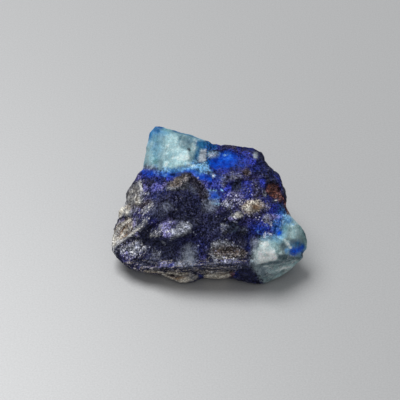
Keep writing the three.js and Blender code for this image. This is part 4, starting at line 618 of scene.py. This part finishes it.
        L([(124, 214), (126, 218)], 1.0, 0.9, 0.9, 0.4), O(255.4, 212.8, 3, 1.2, 10, 0.9, 1.5, 0.4), L([(259, 152), (265, 160), (270, 168), (277, 173)], 3.4, 2.4, 1.1, 0.4), L([(272, 175), (277, 182)], 2.6, 2.2, 0.7, 0.5), L([(264, 167), (273, 178)], 3.0, 2.6, 0.3, 0.5), O(246, 192, 3, 5, 0, 2.4, -0.2, 0.5), O(258, 188, 3, 6, 0, 2.4, 0.3, 0.5), L([(282, 180), (284, 188), (286, 198)], 1.4, 1.4, 1.2, 0.4), L([(242, 148), (250, 150.4), (259, 152)], 1.2, 1.3, 0.4, 0.4), L([(283, 188), (287, 200)], 1.6, 1.4, 1.6, 0.4), O(272, 182.8, 4, 1.4, 0, 1.2, 1.2, 0.4), L([(268, 170), (268, 181)], 2.5, 2.0, 1.2), O(277, 189, 2.6, 2, 0, 1.4, 0.2, 0.5), O(270.6, 193, 1.8, 1.4, 0, 1.0, 0.8, 0.4), O(274, 186.6, 2.4, 1.0, 20, 1.0, 0.9, 0.6), L([(269, 189), (273, 191), (276, 189.6)], 0.5, 0.8, 0.7, 0.8), L([(275, 193), (277.6, 198)], 0.5, 0.8, 0.6, 0.6), L([(280, 196), (282.6, 202), (286, 210)], 0.7, 1.0, 0.9, 0.4),
        L([(133, 201), (133, 204)], 1.0, 1.0, 0.6, 0.4), O(127.5, 201.5, 1.6, 1.2, 0, 0.9, 1.0, 0.4), O(133, 194.5, 1.4, 1.2, 0, 0.9, 0.9, 0.4), L([(143, 229), (146, 236)], 2.4, 1.6, 1.2, 0.5), O(236.5, 187, 5, 5, -30, 2.0, 0.7),
        L([(111.6, 234), (114.6, 227)], 1.0, 0.8, 1.4, 0.3), L([(117.6, 250), (118.4, 258)], 1.8, 1.2, 1.4, 0.4), L([(196, 222), (202, 214), (206, 206)], 3.0, 3.0, 0.0), O(302.4, 254.6, 1.4, 2.4, 0, 1.0, 1.6, 0.3), L([(226, 145.5), (236, 146)], 1.0, 1.2, 0.1, 0.4),
        L([(148, 269.8), (166, 270.4), (186, 270.8), (204, 269.8), (226, 270)], 0.9, 0.8, 0.8, 0.3), L([(170, 275.6), (178, 276.2)], 0.7, 0.9, 0.3, 0.4), O(222, 219, 8, 4, 0, 4.0, 0.0), O(232, 226, 5, 4, 0, 3.0, 0.3), L([(116, 219), (120, 214)], 1.0, 1.0, 0.2, 0.4), L([(150, 268), (160, 268.4), (176, 268)], 0.6, 0.7, 0.6, 0.2),
        O(216.6, 176.6, 1.2, 1.2, 0, 0.9, 1.0, 0.3), O(130, 229.8, 3.4, 0.9, -28, 0.8, 0.9, 0.3), O(150, 183, 4, 3, 0, 2.4, 0.2), O(137, 221, 1.6, 5, 20, 1.4, 1.0, 0.5), O(225, 147, 4, 1.0, 0, 1.0, 0.4, 0.3)],
}

# where pale flecks gather
FLECKS = [
    (O(130, 250, 13, 9, -10, 3.0), 1.0), (O(140, 262, 12, 5, -10, 3.0), 0.45), (O(234, 202, 11, 9, -20, 3.0), 1.0), (L([(206, 168), (214, 176), (222, 182)], 4.0, 2.5), 0.35), (O(148, 196, 9, 8, 30, 3.0), 0.35), (L([(142, 214), (152, 205)], 5.0, 2.5), 0.6),
    (O(178, 208, 22, 14, 0, 6.0), 0.22), (O(254, 190, 14, 9, 0, 4.0), 0.5), (O(265, 207, 6, 5, 0, 3.0), 0.9), (O(255, 216, 16, 8, 0, 4.0), 0.6), (O(272, 222, 9, 10, 0, 4.0), 0.55), (O(227, 251, 17, 11, 5, 3.0), 0.55), (O(215, 226, 18, 14, 0, 6.0), 0.28),
    (O(205, 242, 8, 14, 0, 5.0), 0.3), (L([(140, 266), (200, 268), (240, 267)], 3.0, 2.0), 0.4), (O(160, 230, 18, 8, 0, 3.0), 0.45), (O(215, 160, 8, 10, 0, 4.0), 0.3), (O(246, 156, 10, 6, 0, 3.0), 0.25), (O(168, 252, 22, 8, 0, 5.0), 0.18),
    (O(182, 182, 10, 6, 30, 2.0), 0.3), (O(260, 276, 8, 6, 0, 3.0), 0.2)]

SHAPES = {"oval": oval, "inside": inside, "line": line}


def laid(patch, a, b, wa, wb):
    """A patch as a value that falls below 0 outside its outline."""
    kind, args, soft, cap, wander = patch
    return np.minimum(SHAPES[kind](a + wander * wa, b + wander * wb, *args) / soft, cap)


a, b, wa, wb = warped(v)
front = smooth(-0.35, 0.1, facing)
seen_side = front > 0.001
block = inside(a + 0.6 * wa, b + 0.6 * wb, BLOCK)
knob = inside(a + 0.6 * wa, b + 0.6 * wb, KNOB)
p = v
n_big = fbm(p / 5.0, 3, 41)
n_mid = fbm(p / 2.2, 3, 45)
n_alt = fbm(p / 3.1, 3, 48)
n_far = fbm(p / 4.0, 3, 52)
crystal = np.maximum(block, knob)

# the hidden sides carry the same minerals, in patches of their own
REAR = {
    "violet": 5 * (n_big + 0.02), "navy": 5 * (n_alt + 0.05), "ultra": 6 * (n_big - 0.18), "vivid": 7 * (n_far - 0.42), "cobalt": 6 * (n_alt - 0.38), "haze": 4 * (n_mid - 0.35),
    "brown": 6 * (n_mid - 0.32), "grey": 6 * (-n_alt - 0.26), "white": 7 * (-n_far - 0.42), "cream": 6 * (-n_mid - 0.34), "umber": 6 * (n_far - 0.40), "ochre": 6 * (n_far - 0.46), "rust": 6 * (-n_big - 0.52), "lilac": 6 * (n_far * 0.6 - n_mid * 0.6 - 0.40),
    "crack_and_shade": 4 * (-n_big - 0.22),
    "aqua": np.minimum(crystal / 4, 6 * (n_mid + 0.12)), "azure": np.minimum(crystal / 3, 6 * (n_alt - 0.10)), "deep": np.minimum(crystal / 3, 6 * (n_far - 0.34)),
    "mint": np.minimum(crystal / 4 - 0.5, 6 * (-n_mid + 0.02)), "slate": np.minimum(crystal / 3, 5 * (n_big - 0.20)), "snow": np.minimum(crystal / 4 - 0.8, 7 * (-n_alt - 0.22)), "sky": 3 - np.abs(crystal + 1.5) + 3 * n_mid - 2.6,
    "spot": np.full(len(v), -6.0), "glint": np.full(len(v), -6.0), "frost": 7 * (n_far - 0.46), "jade": np.minimum(crystal / 3, 6 * (-n_far + 0.02)), "chalk": np.full(len(v), -6.0), "mist": 4 * (n_mid - 0.42), "milk": np.minimum(crystal / 4 - 1.0, 7 * (n_alt - 0.26)), "shade": np.minimum(crystal / 4, 6 * (-n_big - 0.30)), "ash": 6 * (n_alt * 0.7 - n_mid * 0.5 - 0.22), "bone": 6 * (n_far * 0.5 - n_alt * 0.7 - 0.36), "silk": 4 * (n_big - 0.42), "rill": 4 * (n_far - 0.50), "glow": np.minimum(1.5 - np.abs(crystal + 2.0) / 1.5, 4 * n_mid + 0.4), "ivory": 7 * (-n_far * 0.7 - n_alt * 0.5 - 0.44),
}
bare = 4.0 * smooth(-1.0, 2.5, crystal)
for name in ("brown", "ochre", "grey", "white", "cream", "umber", "rust", "lilac", "frost", "ivory", "ash", "bone", "crack_and_shade", "cobalt"):
    REAR[name] = REAR[name] - bare
zone = {"block": block, "knob": knob}
for name, patches in PATCHES.items():
    value = np.full(len(v), -6.0)
    aa, bb, ua, ub = a[seen_side], b[seen_side], wa[seen_side], wb[seen_side]
    best = value[seen_side]
    for patch in patches:
        best = np.maximum(best, laid(patch, aa, bb, ua, ub))
    value[seen_side] = best
    zone[name] = np.clip(value, -3, 2) * front + np.clip(REAR[name], -3, 1.6) * (1 - front)
fleck = np.zeros(len(v))
for patch, share in FLECKS:
    fleck = np.maximum(fleck, share * smooth(-1.0, 1.0, laid(patch, a, b, wa, wb)))
zone["fleck"] = np.clip(0.10 + fleck, 0, 1) * front + (0.25 + 0.5 * smooth(0.1, 0.5, n_far)) * (1 - front)

# painted shade and painted highlight: hollows of the relief darken and its raised edges lighten
height = averaged(lift, ed, len(v), 14)
zone["worn"] = np.clip((lift - height) * 60, -8, 8)

me = bpy.data.meshes.new("stone_surface")
me.vertices.add(len(v))
me.vertices.foreach_set("co", (v / 1000).astype(np.float32).ravel())
me.loops.add(len(tri) * 3)
me.polygons.add(len(tri))
me.loops.foreach_set("vertex_index", tri.astype(np.int32).ravel())
me.polygons.foreach_set("loop_start", np.arange(0, len(tri) * 3, 3, dtype=np.int32))
me.polygons.foreach_set("use_smooth", np.ones(len(tri), bool))
me.update(calc_edges=True)
me.validate()
for name, values in zone.items():
    at = me.attributes.new("z_" + name, "FLOAT", "POINT")
    at.data.foreach_set("value", np.clip(values, -10, 10).astype(np.float32))
stone = bpy.data.objects.new("stone_surface", me)
bpy.context.scene.collection.objects.link(stone)

# ---------------------------------------------------------------------------
# Materials
# ---------------------------------------------------------------------------


def lin(r, g, b):
    f = lambda c: c / 12.92 if c <= 0.04045 else ((c + 0.055) / 1.055) ** 2.4
    return (f(r / 255), f(g / 255), f(b / 255), 1.0)


class Nodes:
    def __init__(self, name):
        self.mat = bpy.data.materials.new(name)
        self.mat.use_nodes = True
        self.t = self.mat.node_tree
        self.t.nodes.clear()
        self.out = self.t.nodes.new("ShaderNodeOutputMaterial")
        self.bsdf = self.t.nodes.new("ShaderNodeBsdfPrincipled")
        self.t.links.new(self.bsdf.outputs[0], self.out.inputs[0])

    def put(self, socket, value):
        if isinstance(value, bpy.types.NodeSocket):
            self.t.links.new(value, socket)
        else:
            socket.default_value = value

    def math(self, op, x, y=0.0, z=0.0, clamp=False):
        n = self.t.nodes.new("ShaderNodeMath")
        n.operation = op
        n.use_clamp = clamp
        self.put(n.inputs[0], x)
        self.put(n.inputs[1], y)
        if op in ("MULTIPLY_ADD",):
            self.put(n.inputs[2], z)
        return n.outputs[0]

    def vmath(self, op, x, y=None, scale=None):
        n = self.t.nodes.new("ShaderNodeVectorMath")
        n.operation = op
        self.put(n.inputs[0], x)
        if y is not None:
            self.put(n.inputs[1], y)
        if scale is not None:
            self.put(n.inputs["Scale"], scale)
        return n.outputs[0]

    def value(self, name):
        n = self.t.nodes.new("ShaderNodeAttribute")
        n.attribute_name = name
        return n.outputs["Fac"]

    def mix(self, f, a, b, kind="MIX"):
        n = self.t.nodes.new("ShaderNodeMix")
        n.data_type = "RGBA"
        n.blend_type = kind
        n.clamp_factor = True
        self.put(n.inputs[0], f)
        self.put(n.inputs[6], a)
        self.put(n.inputs[7], b)
        return n.outputs[2]

    def scaled(self, colour, by):
        """A colour made lighter or darker by a factor."""
        n = self.t.nodes.new("ShaderNodeVectorMath")
        n.operation = "SCALE"
        self.put(n.inputs[0], colour)
        self.put(n.inputs["Scale"], by)
        return n.outputs[0]

    def step(self, x, lo, hi):
        n = self.t.nodes.new("ShaderNodeMapRange")
        n.interpolation_type = "SMOOTHSTEP"
        self.put(n.inputs["Value"], x)
        n.inputs["From Min"].default_value = lo
        n.inputs["From Max"].default_value = hi
        return n.outputs["Result"]

    def noise(self, vec, scale, detail=3.0, rough=0.55):
        n = self.t.nodes.new("ShaderNodeTexNoise")
        n.inputs["Scale"].default_value = scale
        n.inputs["Detail"].default_value = detail
        n.inputs["Roughness"].default_value = rough
        self.put(n.inputs["Vector"], vec)
        return n.outputs["Fac"]

    def grains(self, vec, scale):
        n = self.t.nodes.new("ShaderNodeTexVoronoi")
        n.inputs["Scale"].default_value = scale
        self.put(n.inputs["Vector"], vec)
        return n.outputs["Color"], n.outputs["Distance"]

    def parts(self, colour):
        n = self.t.nodes.new("ShaderNodeSeparateColor")
        self.put(n.inputs[0], colour)
        return n.outputs[0], n.outputs[1], n.outputs[2]




m = Nodes("stone_afghanite")
tc = m.t.nodes.new("ShaderNodeTexCoord")
mm = m.vmath("SCALE", tc.outputs["Object"], scale=1000.0)          # millimetres of the stone
wob = m.t.nodes.new("ShaderNodeTexNoise")
wob.inputs["Scale"].default_value = 2.2
wob.inputs["Detail"].default_value = 2.0
m.put(wob.inputs["Vector"], mm)
mmw = m.vmath("ADD", mm, m.vmath("SCALE", m.vmath("SUBTRACT", wob.outputs["Color"], (0.5, 0.5, 0.5)), scale=0.35))

c_big, _ = m.grains(mmw, 1 / 0.75)
c_mid, d_mid = m.grains(mmw, 1 / 0.38)
c_fine, d_fine = m.grains(mm, 1 / 0.21)
big_r, big_g, big_b = m.parts(c_big)
mid_r, mid_g, mid_b = m.parts(c_mid)
fin_r, fin_g, fin_b = m.parts(c_fine)
n_wide = m.step(m.noise(mm, 0.42, 3.0, 0.5), 0.3, 0.7)       # patches a few millimetres wide
n_mm = m.step(m.noise(mmw, 1.25, 4.0, 0.6), 0.3, 0.7)        # mottling about a millimetre wide
n_mm2 = m.step(m.noise(m.vmath("ADD", mmw, (7.0, 3.0, 5.0)), 1.6, 4.0, 0.62), 0.3, 0.7)
n_fine = m.noise(mm, 4.5, 3.0, 0.6)
n_dust = m.noise(mm, 4.2, 2.0, 0.6)
n_dust2 = m.noise(m.vmath("ADD", mm, (3.0, 9.0, 1.0)), 4.2, 2.0, 0.6)
n_vein = m.noise(m.vmath("ADD", mmw, (11.0, 2.0, 8.0)), 1.1, 3.0, 0.55)
n_crack = m.noise(m.vmath("ADD", mmw, (4.0, 13.0, 6.0)), 1.7, 3.0, 0.6)


def streaks(along, keep, scale, detail=4.0):
    """Mottling drawn out along one direction of the stone."""
    n = m.t.nodes.new("ShaderNodeVectorMath")
    n.operation = "DOT_PRODUCT"
    m.put(n.inputs[0], mmw)
    m.put(n.inputs[1], along)
    back = m.t.nodes.new("ShaderNodeVectorMath")
    back.operation = "SCALE"
    back.inputs[0].default_value = along
    m.put(back.inputs["Scale"], m.math("MULTIPLY", n.outputs["Value"], 1.0 - keep))
    return m.step(m.noise(m.vmath("SUBTRACT", mmw, back.outputs[0]), scale, detail, 0.6), 0.32, 0.68)


s_up = streaks((0.80, 0.42, 0.42), 0.25, 2.0)                # the grain of the left side runs up to the right
s_down = streaks((0.12, 0.70, 0.70), 0.22, 1.7)              # growth lines in the pale crystal

s_thin = streaks((0.80, 0.42, 0.42), 0.14, 4.4, 2.0)         # thin scratches along the same grain
s_level = streaks((1.0, 0.06, 0.0), 0.10, 4.4, 2.0)          # and level ones along the lip

# shared grain values, 0 to 1
grain = m.math("MULTIPLY", n_mm, 0.22)
for part, share in ((big_r, 0.08), (mid_r, 0.16), (fin_r, 0.18), (m.step(n_fine, 0.3, 0.7), 0.36)):
    grain = m.math("MULTIPLY_ADD", part, share, grain)
grain_b = m.math("MULTIPLY", n_mm2, 0.24)
for part, share in ((big_g, 0.08), (mid_g, 0.14), (fin_g, 0.18), (m.step(n_dust2, 0.3, 0.7), 0.36)):
    grain_b = m.math("MULTIPLY_ADD", part, share, grain_b)
salt = m.math("MULTIPLY", n_fine, 0.36)                      # grain by grain contrast
for part, share in ((n_dust2, 0.26), (n_mm2, 0.14), (mid_g, 0.12), (fin_g, 0.12)):
    salt = m.math("MULTIPLY_ADD", part, share, salt)
cloud = m.math("MULTIPLY", n_wide, 0.26)                     # soft contrast inside crystal
for part, share in ((n_mm, 0.27), (s_down, 0.30), (n_fine, 0.17)):
    cloud = m.math("MULTIPLY_ADD", part, share, cloud)

grit = m.math("MULTIPLY", n_fine, 0.10)                      # the finest, sugary contrast
for part, share in ((n_dust, 0.50), (fin_b, 0.40)):
    grit = m.math("MULTIPLY_ADD", part, share, grit)

# thin branching lines: pale veins in the dark ground, dark cracks in the crusts
vein = m.step(m.math("ABSOLUTE", m.math("SUBTRACT", n_vein, 0.5)), 0.030, 0.004)
crack = m.step(m.math("ABSOLUTE", m.math("SUBTRACT", n_crack, 0.5)), 0.045, 0.006)

centred = m.math("SUBTRACT", grain, 0.5)
soft_centred = m.math("MULTIPLY_ADD", n_mm, 0.5, m.math("MULTIPLY_ADD", n_fine, 0.5, -0.5))

GAIN = 1.30                       # colours below are as seen in the studio's light


def seen(r, g, b, gain=GAIN):
    c = lin(r, g, b)
    return tuple(min(0.92, v * gain) for v in c[:3]) + (1.0,)


PATTERN = {"grain": (grain_b, 0.28, 0.74), "salt": (salt, 0.34, 0.66), "cloud": (cloud, 0.25, 0.75), "streak": (s_up, 0.15, 0.85), "wide": (n_wide, 0.1, 0.9), "mottle": (n_mm2, 0.1, 0.9)}


def two(c0, c1, by="grain", lo=None, hi=None):
    field, a0, a1 = PATTERN[by]
    return m.mix(m.step(field, lo if lo is not None else a0, hi if hi is not None else a1), seen(*c0), seen(*c1))


def amount(name, spread, ragged, gentle=False):
    """How much of a patch's mineral shows at a place, 0 to 1, its edge broken up by the grain."""
    f = m.math("MULTIPLY_ADD", soft_centred if gentle else centred, ragged, m.value("z_" + name))
    return m.step(f, -spread, spread)


def over(below, by, share, above):
    return m.mix(m.math("MULTIPLY", by, share) if share < 1 else by, below, above)


def most(x, y):
    return m.math("MAXIMUM", x, y)


# dark ground, a little greyer and a little more violet in places
col = two((18, 21, 45), (36, 39, 71))
col = over(col, m.step(n_wide, 0.35, 0.9), 0.35, two((24, 24, 50), (44, 43, 77)))
col = over(col, m.step(s_up, 0.66, 0.95), 0.08, seen(84, 86, 112))
glassy = None
#    name, spread, ragged, gentle, share, dark colour, light colour, pattern
for name, spread, ragged, gentle, share, c0, c1, by in (
        ("violet", 1.2, 2.6, False, 0.90, (22, 19, 56), (48, 46, 102), "grain"),
        ("navy", 1.3, 2.0, False, 0.92, (8, 18, 72), (26, 38, 110), "grain"),
        ("ultra", 1.1, 2.6, False, 0.92, (16, 22, 94), (38, 50, 144), "grain"),
        ("vivid", 1.1, 2.2, False, 0.90, (32, 42, 144), (62, 76, 192), "grain"),
        ("haze", 1.8, 1.0, True, 0.80, (82, 88, 108), (132, 138, 152), "mottle")):
    here = amount(name, spread, ragged, gentle)
    col = over(col, here, share, two(c0, c1, by))
    if name in ("ultra", "vivid", "haze"):
        glassy = here if glassy is None else most(glassy, here)

# cloudy crystal: blue where it is clear, milky where it is not
b_mask = m.step(m.math("MULTIPLY_ADD", soft_centred, 4.0, m.value("z_block")), -3.2, 2.4)
k_mask = m.step(m.math("MULTIPLY_ADD", soft_centred, 4.0, m.value("z_knob")), -4.0, 4.0)
pale = m.math("MAXIMUM", b_mask, k_mask)
smoothly = most(pale, m.math("MULTIPLY", glassy, 0.35))
crust = None
col = m.mix(b_mask, col, two((119, 152, 163), (143, 172, 180), "cloud"))
col = m.mix(k_mask, col, two((122, 140, 140), (160, 178, 178), "cloud"))
for name, spread, ragged, gentle, share, c0, c1, by in (
        ("aqua", 1.6, 1.0, True, 0.85, (104, 160, 187), (132, 182, 203), "cloud"),
        ("azure", 1.6, 1.0, True, 0.90, (8, 96, 160), (40, 127, 185), "cloud"),
        ("jade", 1.4, 1.2, True, 0.80, (66, 116, 120), (114, 150, 148), "cloud"),
        ("mint", 1.6, 1.4, True, 0.88, (148, 182, 189), (172, 201, 204), "cloud"),
        ("slate", 1.4, 1.6, True, 0.85, (80, 101, 112), (106, 127, 136), "cloud"),
        ("deep", 1.2, 1.4, True, 0.94, (0, 56, 112), (8, 92, 138), "cloud"),
        ("cobalt", 1.3, 1.4, True, 0.92, (0, 44, 146), (2, 70, 186), "cloud"),
        ("spot", 1.0, 1.2, True, 0.95, (0, 54, 172), (10, 94, 222), "cloud"),
        ("glow", 1.5, 1.4, True, 0.88, (48, 116, 194), (116, 174, 226), "cloud"),
        ("sky", 1.1, 2.2, True, 0.85, (100, 158, 220), (164, 206, 240), "salt"),
        ("snow", 0.9, 2.0, True, 0.90, (172, 202, 208), (204, 228, 232), "cloud"),
        ("mist", 1.6, 1.2, True, 0.85, (98, 106, 126), (142, 150, 162), "cloud"),
        ("shade", 1.2, 1.4, True, 0.90, (54, 72, 80), (92, 112, 120), "cloud"),
        ("milk", 0.9, 1.2, True, 0.94, (188, 198, 198), (214, 222, 220), "cloud"),
        ("ash", 1.1, 2.0, True, 0.90, (112, 116, 122), (160, 163, 163), "mottle"),
        ("bone", 1.1, 2.0, True, 0.90, (146, 137, 128), (184, 176, 164), "mottle"),
        # crusts; some carry painted light (bright edges of shaded lobes, glints) and the darkest carries painted shade
        ("brown", 1.2, 2.4, False, 0.85, (62, 56, 54), (112, 106, 98), "salt"),
        ("grey", 1.2, 2.8, False, 0.90, (90, 94, 106), (150, 153, 160), "salt"),
        ("cream", 1.2, 2.6, False, 0.90, (122, 108, 94), (206, 194, 172), "salt"),
        ("ochre", 1.2, 2.6, False, 0.85, (92, 66, 46), (168, 136, 98), "salt"),
        ("umber", 1.2, 2.8, False, 0.80, (40, 33, 34), (86, 71, 60), "salt"),
        ("rust", 1.0, 2.2, False, 0.90, (50, 34, 38), (150, 94, 74), "salt"),
        ("chalk", 1.0, 1.0, True, 0.95, (146, 156, 167), (165, 173, 182), "cloud"),
        ("lilac", 1.2, 2.8, False, 0.85, (92, 88, 146), (148, 144, 204), "salt"),
        ("frost", 1.0, 2.8, False, 0.90, (146, 152, 184), (206, 210, 230), "salt"),
        ("white", 0.9, 2.6, False, 0.90, (158, 156, 154), (226, 224, 214), "salt"),
        # pale cream, used partly as painted light on shaded lobe edges and as painted highlights on the ridge
        ("ivory", 0.9, 2.4, False, 0.90, (176, 166, 150), (240, 230, 210), "salt"),
        # painted highlights
        ("glint", 0.9, 1.8, False, 0.90, (206, 208, 226), (238, 240, 246), "salt"),
        # the darkest class: dark cracks, and painted shade in grooves, hollows, under the lip and along the rim
        ("crack_and_shade", 1.3, 2.2, False, 0.85, (16, 17, 30), (32, 34, 54), "grain")):
    here = amount(name, spread, ragged, gentle)
    col = over(col, here, share, two(c0, c1, by))
    if name in ("cobalt", "spot", "glow", "chalk", "mist"):
        smoothly = most(smoothly, here)
    elif name in ("ash", "bone"):
        smoothly = most(smoothly, m.math("MULTIPLY", here, 0.65))
    if by == "salt" and name != "sky":
        crust = here if crust is None else most(crust, here)

# drawn-out pale scratches with dark ones between them
for name, field, dark, light in (("silk", s_thin, (112, 112, 122), (202, 200, 200)), ("rill", s_level, (92, 88, 94), (178, 170, 162))):
    there = m.step(m.value("z_" + name), -1.4, 1.0)
    col = m.scaled(col, m.math("MULTIPLY_ADD", m.math("MULTIPLY", m.math("SUBTRACT", field, 0.42), there), 1.1, 1.0))
    lines = m.step(m.math("MULTIPLY_ADD", m.math("SUBTRACT", field, 0.5), 5.0, m.value("z_" + name)), 0.5, 1.7)
    col = over(col, lines, 0.80, m.mix(fin_g, seen(*dark), seen(*light)))

# small pale flecks in the dark ground
share = m.math("MULTIPLY", m.value("z_fleck"), m.math("MULTIPLY_ADD", n_mm, 0.9, 0.1))
fleck = m.step(m.math("MULTIPLY_ADD", share, 0.24, m.math("SUBTRACT", fin_b, 0.995)), 0.0, 0.16)
fleck2 = m.step(m.math("MULTIPLY_ADD", share, 0.16, m.math("SUBTRACT", mid_b, 0.996)), 0.0, 0.12)
fleck = m.math("MULTIPLY", fleck, m.step(n_fine, 0.36, 0.56))
fleck2 = m.math("MULTIPLY", fleck2, m.step(n_fine, 0.42, 0.60))
clear = m.math("SUBTRACT", 1.0, m.math("MAXIMUM", pale, amount("cobalt", 1.0, 1.0)))
fl = m.math("MULTIPLY", m.math("MAXIMUM", fleck, m.math("MULTIPLY", fleck2, 0.8)), clear)
col = over(col, fl, 0.75, m.mix(fin_r, seen(120, 124, 182), seen(222, 226, 248)))

# veins and cracks
dark_part = m.math("SUBTRACT", 1.0, most(smoothly, crust))
col = over(col, m.math("MULTIPLY", m.math("MULTIPLY", vein, dark_part), m.math("MULTIPLY_ADD", m.value("z_fleck"), 0.9, 0.04)), 0.45, seen(104, 106, 140))
col = over(col, m.math("MULTIPLY", m.math("MULTIPLY", crack, crust), m.math("SUBTRACT", 1.0, smoothly)), 0.55, seen(44, 40, 48))

# every grain is a little lighter or darker than its neighbour, most of all in the crusts
depth = m.math("MULTIPLY_ADD", crust, 0.02, 0.68)
depth = m.math("MULTIPLY", depth, m.math("MULTIPLY_ADD", smoothly, -0.82, 1.0))
swing = m.math("MULTIPLY_ADD", m.step(grit, 0.34, 0.66), 2.0, -1.0)
col = m.scaled(col, m.math("MULTIPLY_ADD", swing, depth, 1.0))

# painted shade in the hollows, near black, and a painted highlight on the raised edges
worn = m.value("z_worn")
col = m.mix(m.math("MULTIPLY", m.step(worn, -0.3, -4.0), m.math("MULTIPLY_ADD", pale, -0.35, 0.45)), col, (0.004, 0.004, 0.012, 1))
col = m.mix(m.math("MULTIPLY", m.step(worn, 0.5, 4.0), 0.08), col, lin(180, 186, 206))

m.put(m.bsdf.inputs["Base Color"], col)
rough = m.math("MULTIPLY_ADD", grain_b, 0.35, 0.24)
rough = m.math("MULTIPLY_ADD", pale, -0.10, rough)
m.put(m.bsdf.inputs["Roughness"], rough)

# grains catch the light one by one
geo = m.t.nodes.new("ShaderNodeNewGeometry")
tilt = m.vmath("SUBTRACT", c_mid, (0.5, 0.5, 0.5))
tilt2 = m.vmath("SUBTRACT", c_fine, (0.5, 0.5, 0.5))
lean = m.vmath("ADD", m.vmath("SCALE", tilt, scale=0.36), m.vmath("SCALE", tilt2, scale=0.52))
lean = m.vmath("SCALE", lean, scale=m.math("MULTIPLY_ADD", smoothly, -0.80, 1.0))
nrm = m.vmath("NORMALIZE", m.vmath("ADD", geo.outputs["Normal"], lean))
bump = m.t.nodes.new("ShaderNodeBump")
bump.inputs["Strength"].default_value = 0.35
bump.inputs["Distance"].default_value = 0.00006
m.put(bump.inputs["Height"], n_fine)
m.put(bump.inputs["Normal"], nrm)
m.put(m.bsdf.inputs["Normal"], bump.outputs[0])

m.put(m.bsdf.inputs["Subsurface Weight"], m.math("MULTIPLY", pale, 0.75))
m.bsdf.inputs["Subsurface Radius"].default_value = (0.75, 0.95, 1.0)
m.bsdf.inputs["Subsurface Scale"].default_value = 0.0006
m.bsdf.inputs["IOR"].default_value = 1.5
m.bsdf.inputs["Specular IOR Level"].default_value = 0.08
me.materials.append(m.mat)

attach(stone, "root")
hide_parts(NODE)

# ---------------------------------------------------------------------------
# Floor, light and camera
# ---------------------------------------------------------------------------

fm = bpy.data.meshes.new("floor")
fm.from_pydata([(-1.5, -1.5, 0), (1.5, -1.5, 0), (1.5, 1.5, 0), (-1.5, 1.5, 0)], [], [(0, 1, 2, 3)])
floor = bpy.data.objects.new("floor", fm)
bpy.context.scene.collection.objects.link(floor)
f = Nodes("floor_pale")
ftc = f.t.nodes.new("ShaderNodeTexCoord")
fn = f.noise(ftc.outputs["Object"], 3500.0, 2.0, 0.6)
f.put(f.bsdf.inputs["Base Color"], f.mix(fn, lin(172, 173, 174), lin(199, 200, 201)))
f.bsdf.inputs["Roughness"].default_value = 0.43
f.bsdf.inputs["Metallic"].default_value = 0.15
fm.materials.append(f.mat)

world = bpy.data.worlds.new("studio")
world.use_nodes = True
wn = world.node_tree.nodes["Background"]
wn.inputs[0].default_value = (0.99, 0.992, 1.0, 1)
wn.inputs[1].default_value = 0.34
bpy.context.scene.world = world


def area(name, where, at, size, power, colour=(1, 1, 1)):
    from mathutils import Vector
    li = bpy.data.lights.new(name, "AREA")
    li.shape = "DISK"
    li.size = size
    li.energy = power
    li.color = colour
    ob = bpy.data.objects.new(name, li)
    ob.location = where
    ob.rotation_euler = (Vector(at) - Vector(where)).to_track_quat("-Z", "Y").to_euler()
    bpy.context.scene.collection.objects.link(ob)
    return ob


area("key", (-0.352, 0.426, 0.904), (0, 0, 0.005), 0.72, 8.80)

cam_data = bpy.data.cameras.new("camera")
cam_data.lens = 36.0 * FAR / STEP / 400.0
cam_data.sensor_width = 36.0
cam_data.clip_start = 0.01
cam = bpy.data.objects.new("camera", cam_data)
cam.location = (SHEET + OUT * FAR) / 1000
cam.rotation_euler = (math.radians(90) - TILT, 0, 0)
bpy.context.scene.collection.objects.link(cam)
bpy.context.scene.camera = cam

vs = bpy.context.scene.view_settings
vs.view_transform = "Standard"
vs.look = "None"
vs.exposure = 0.0
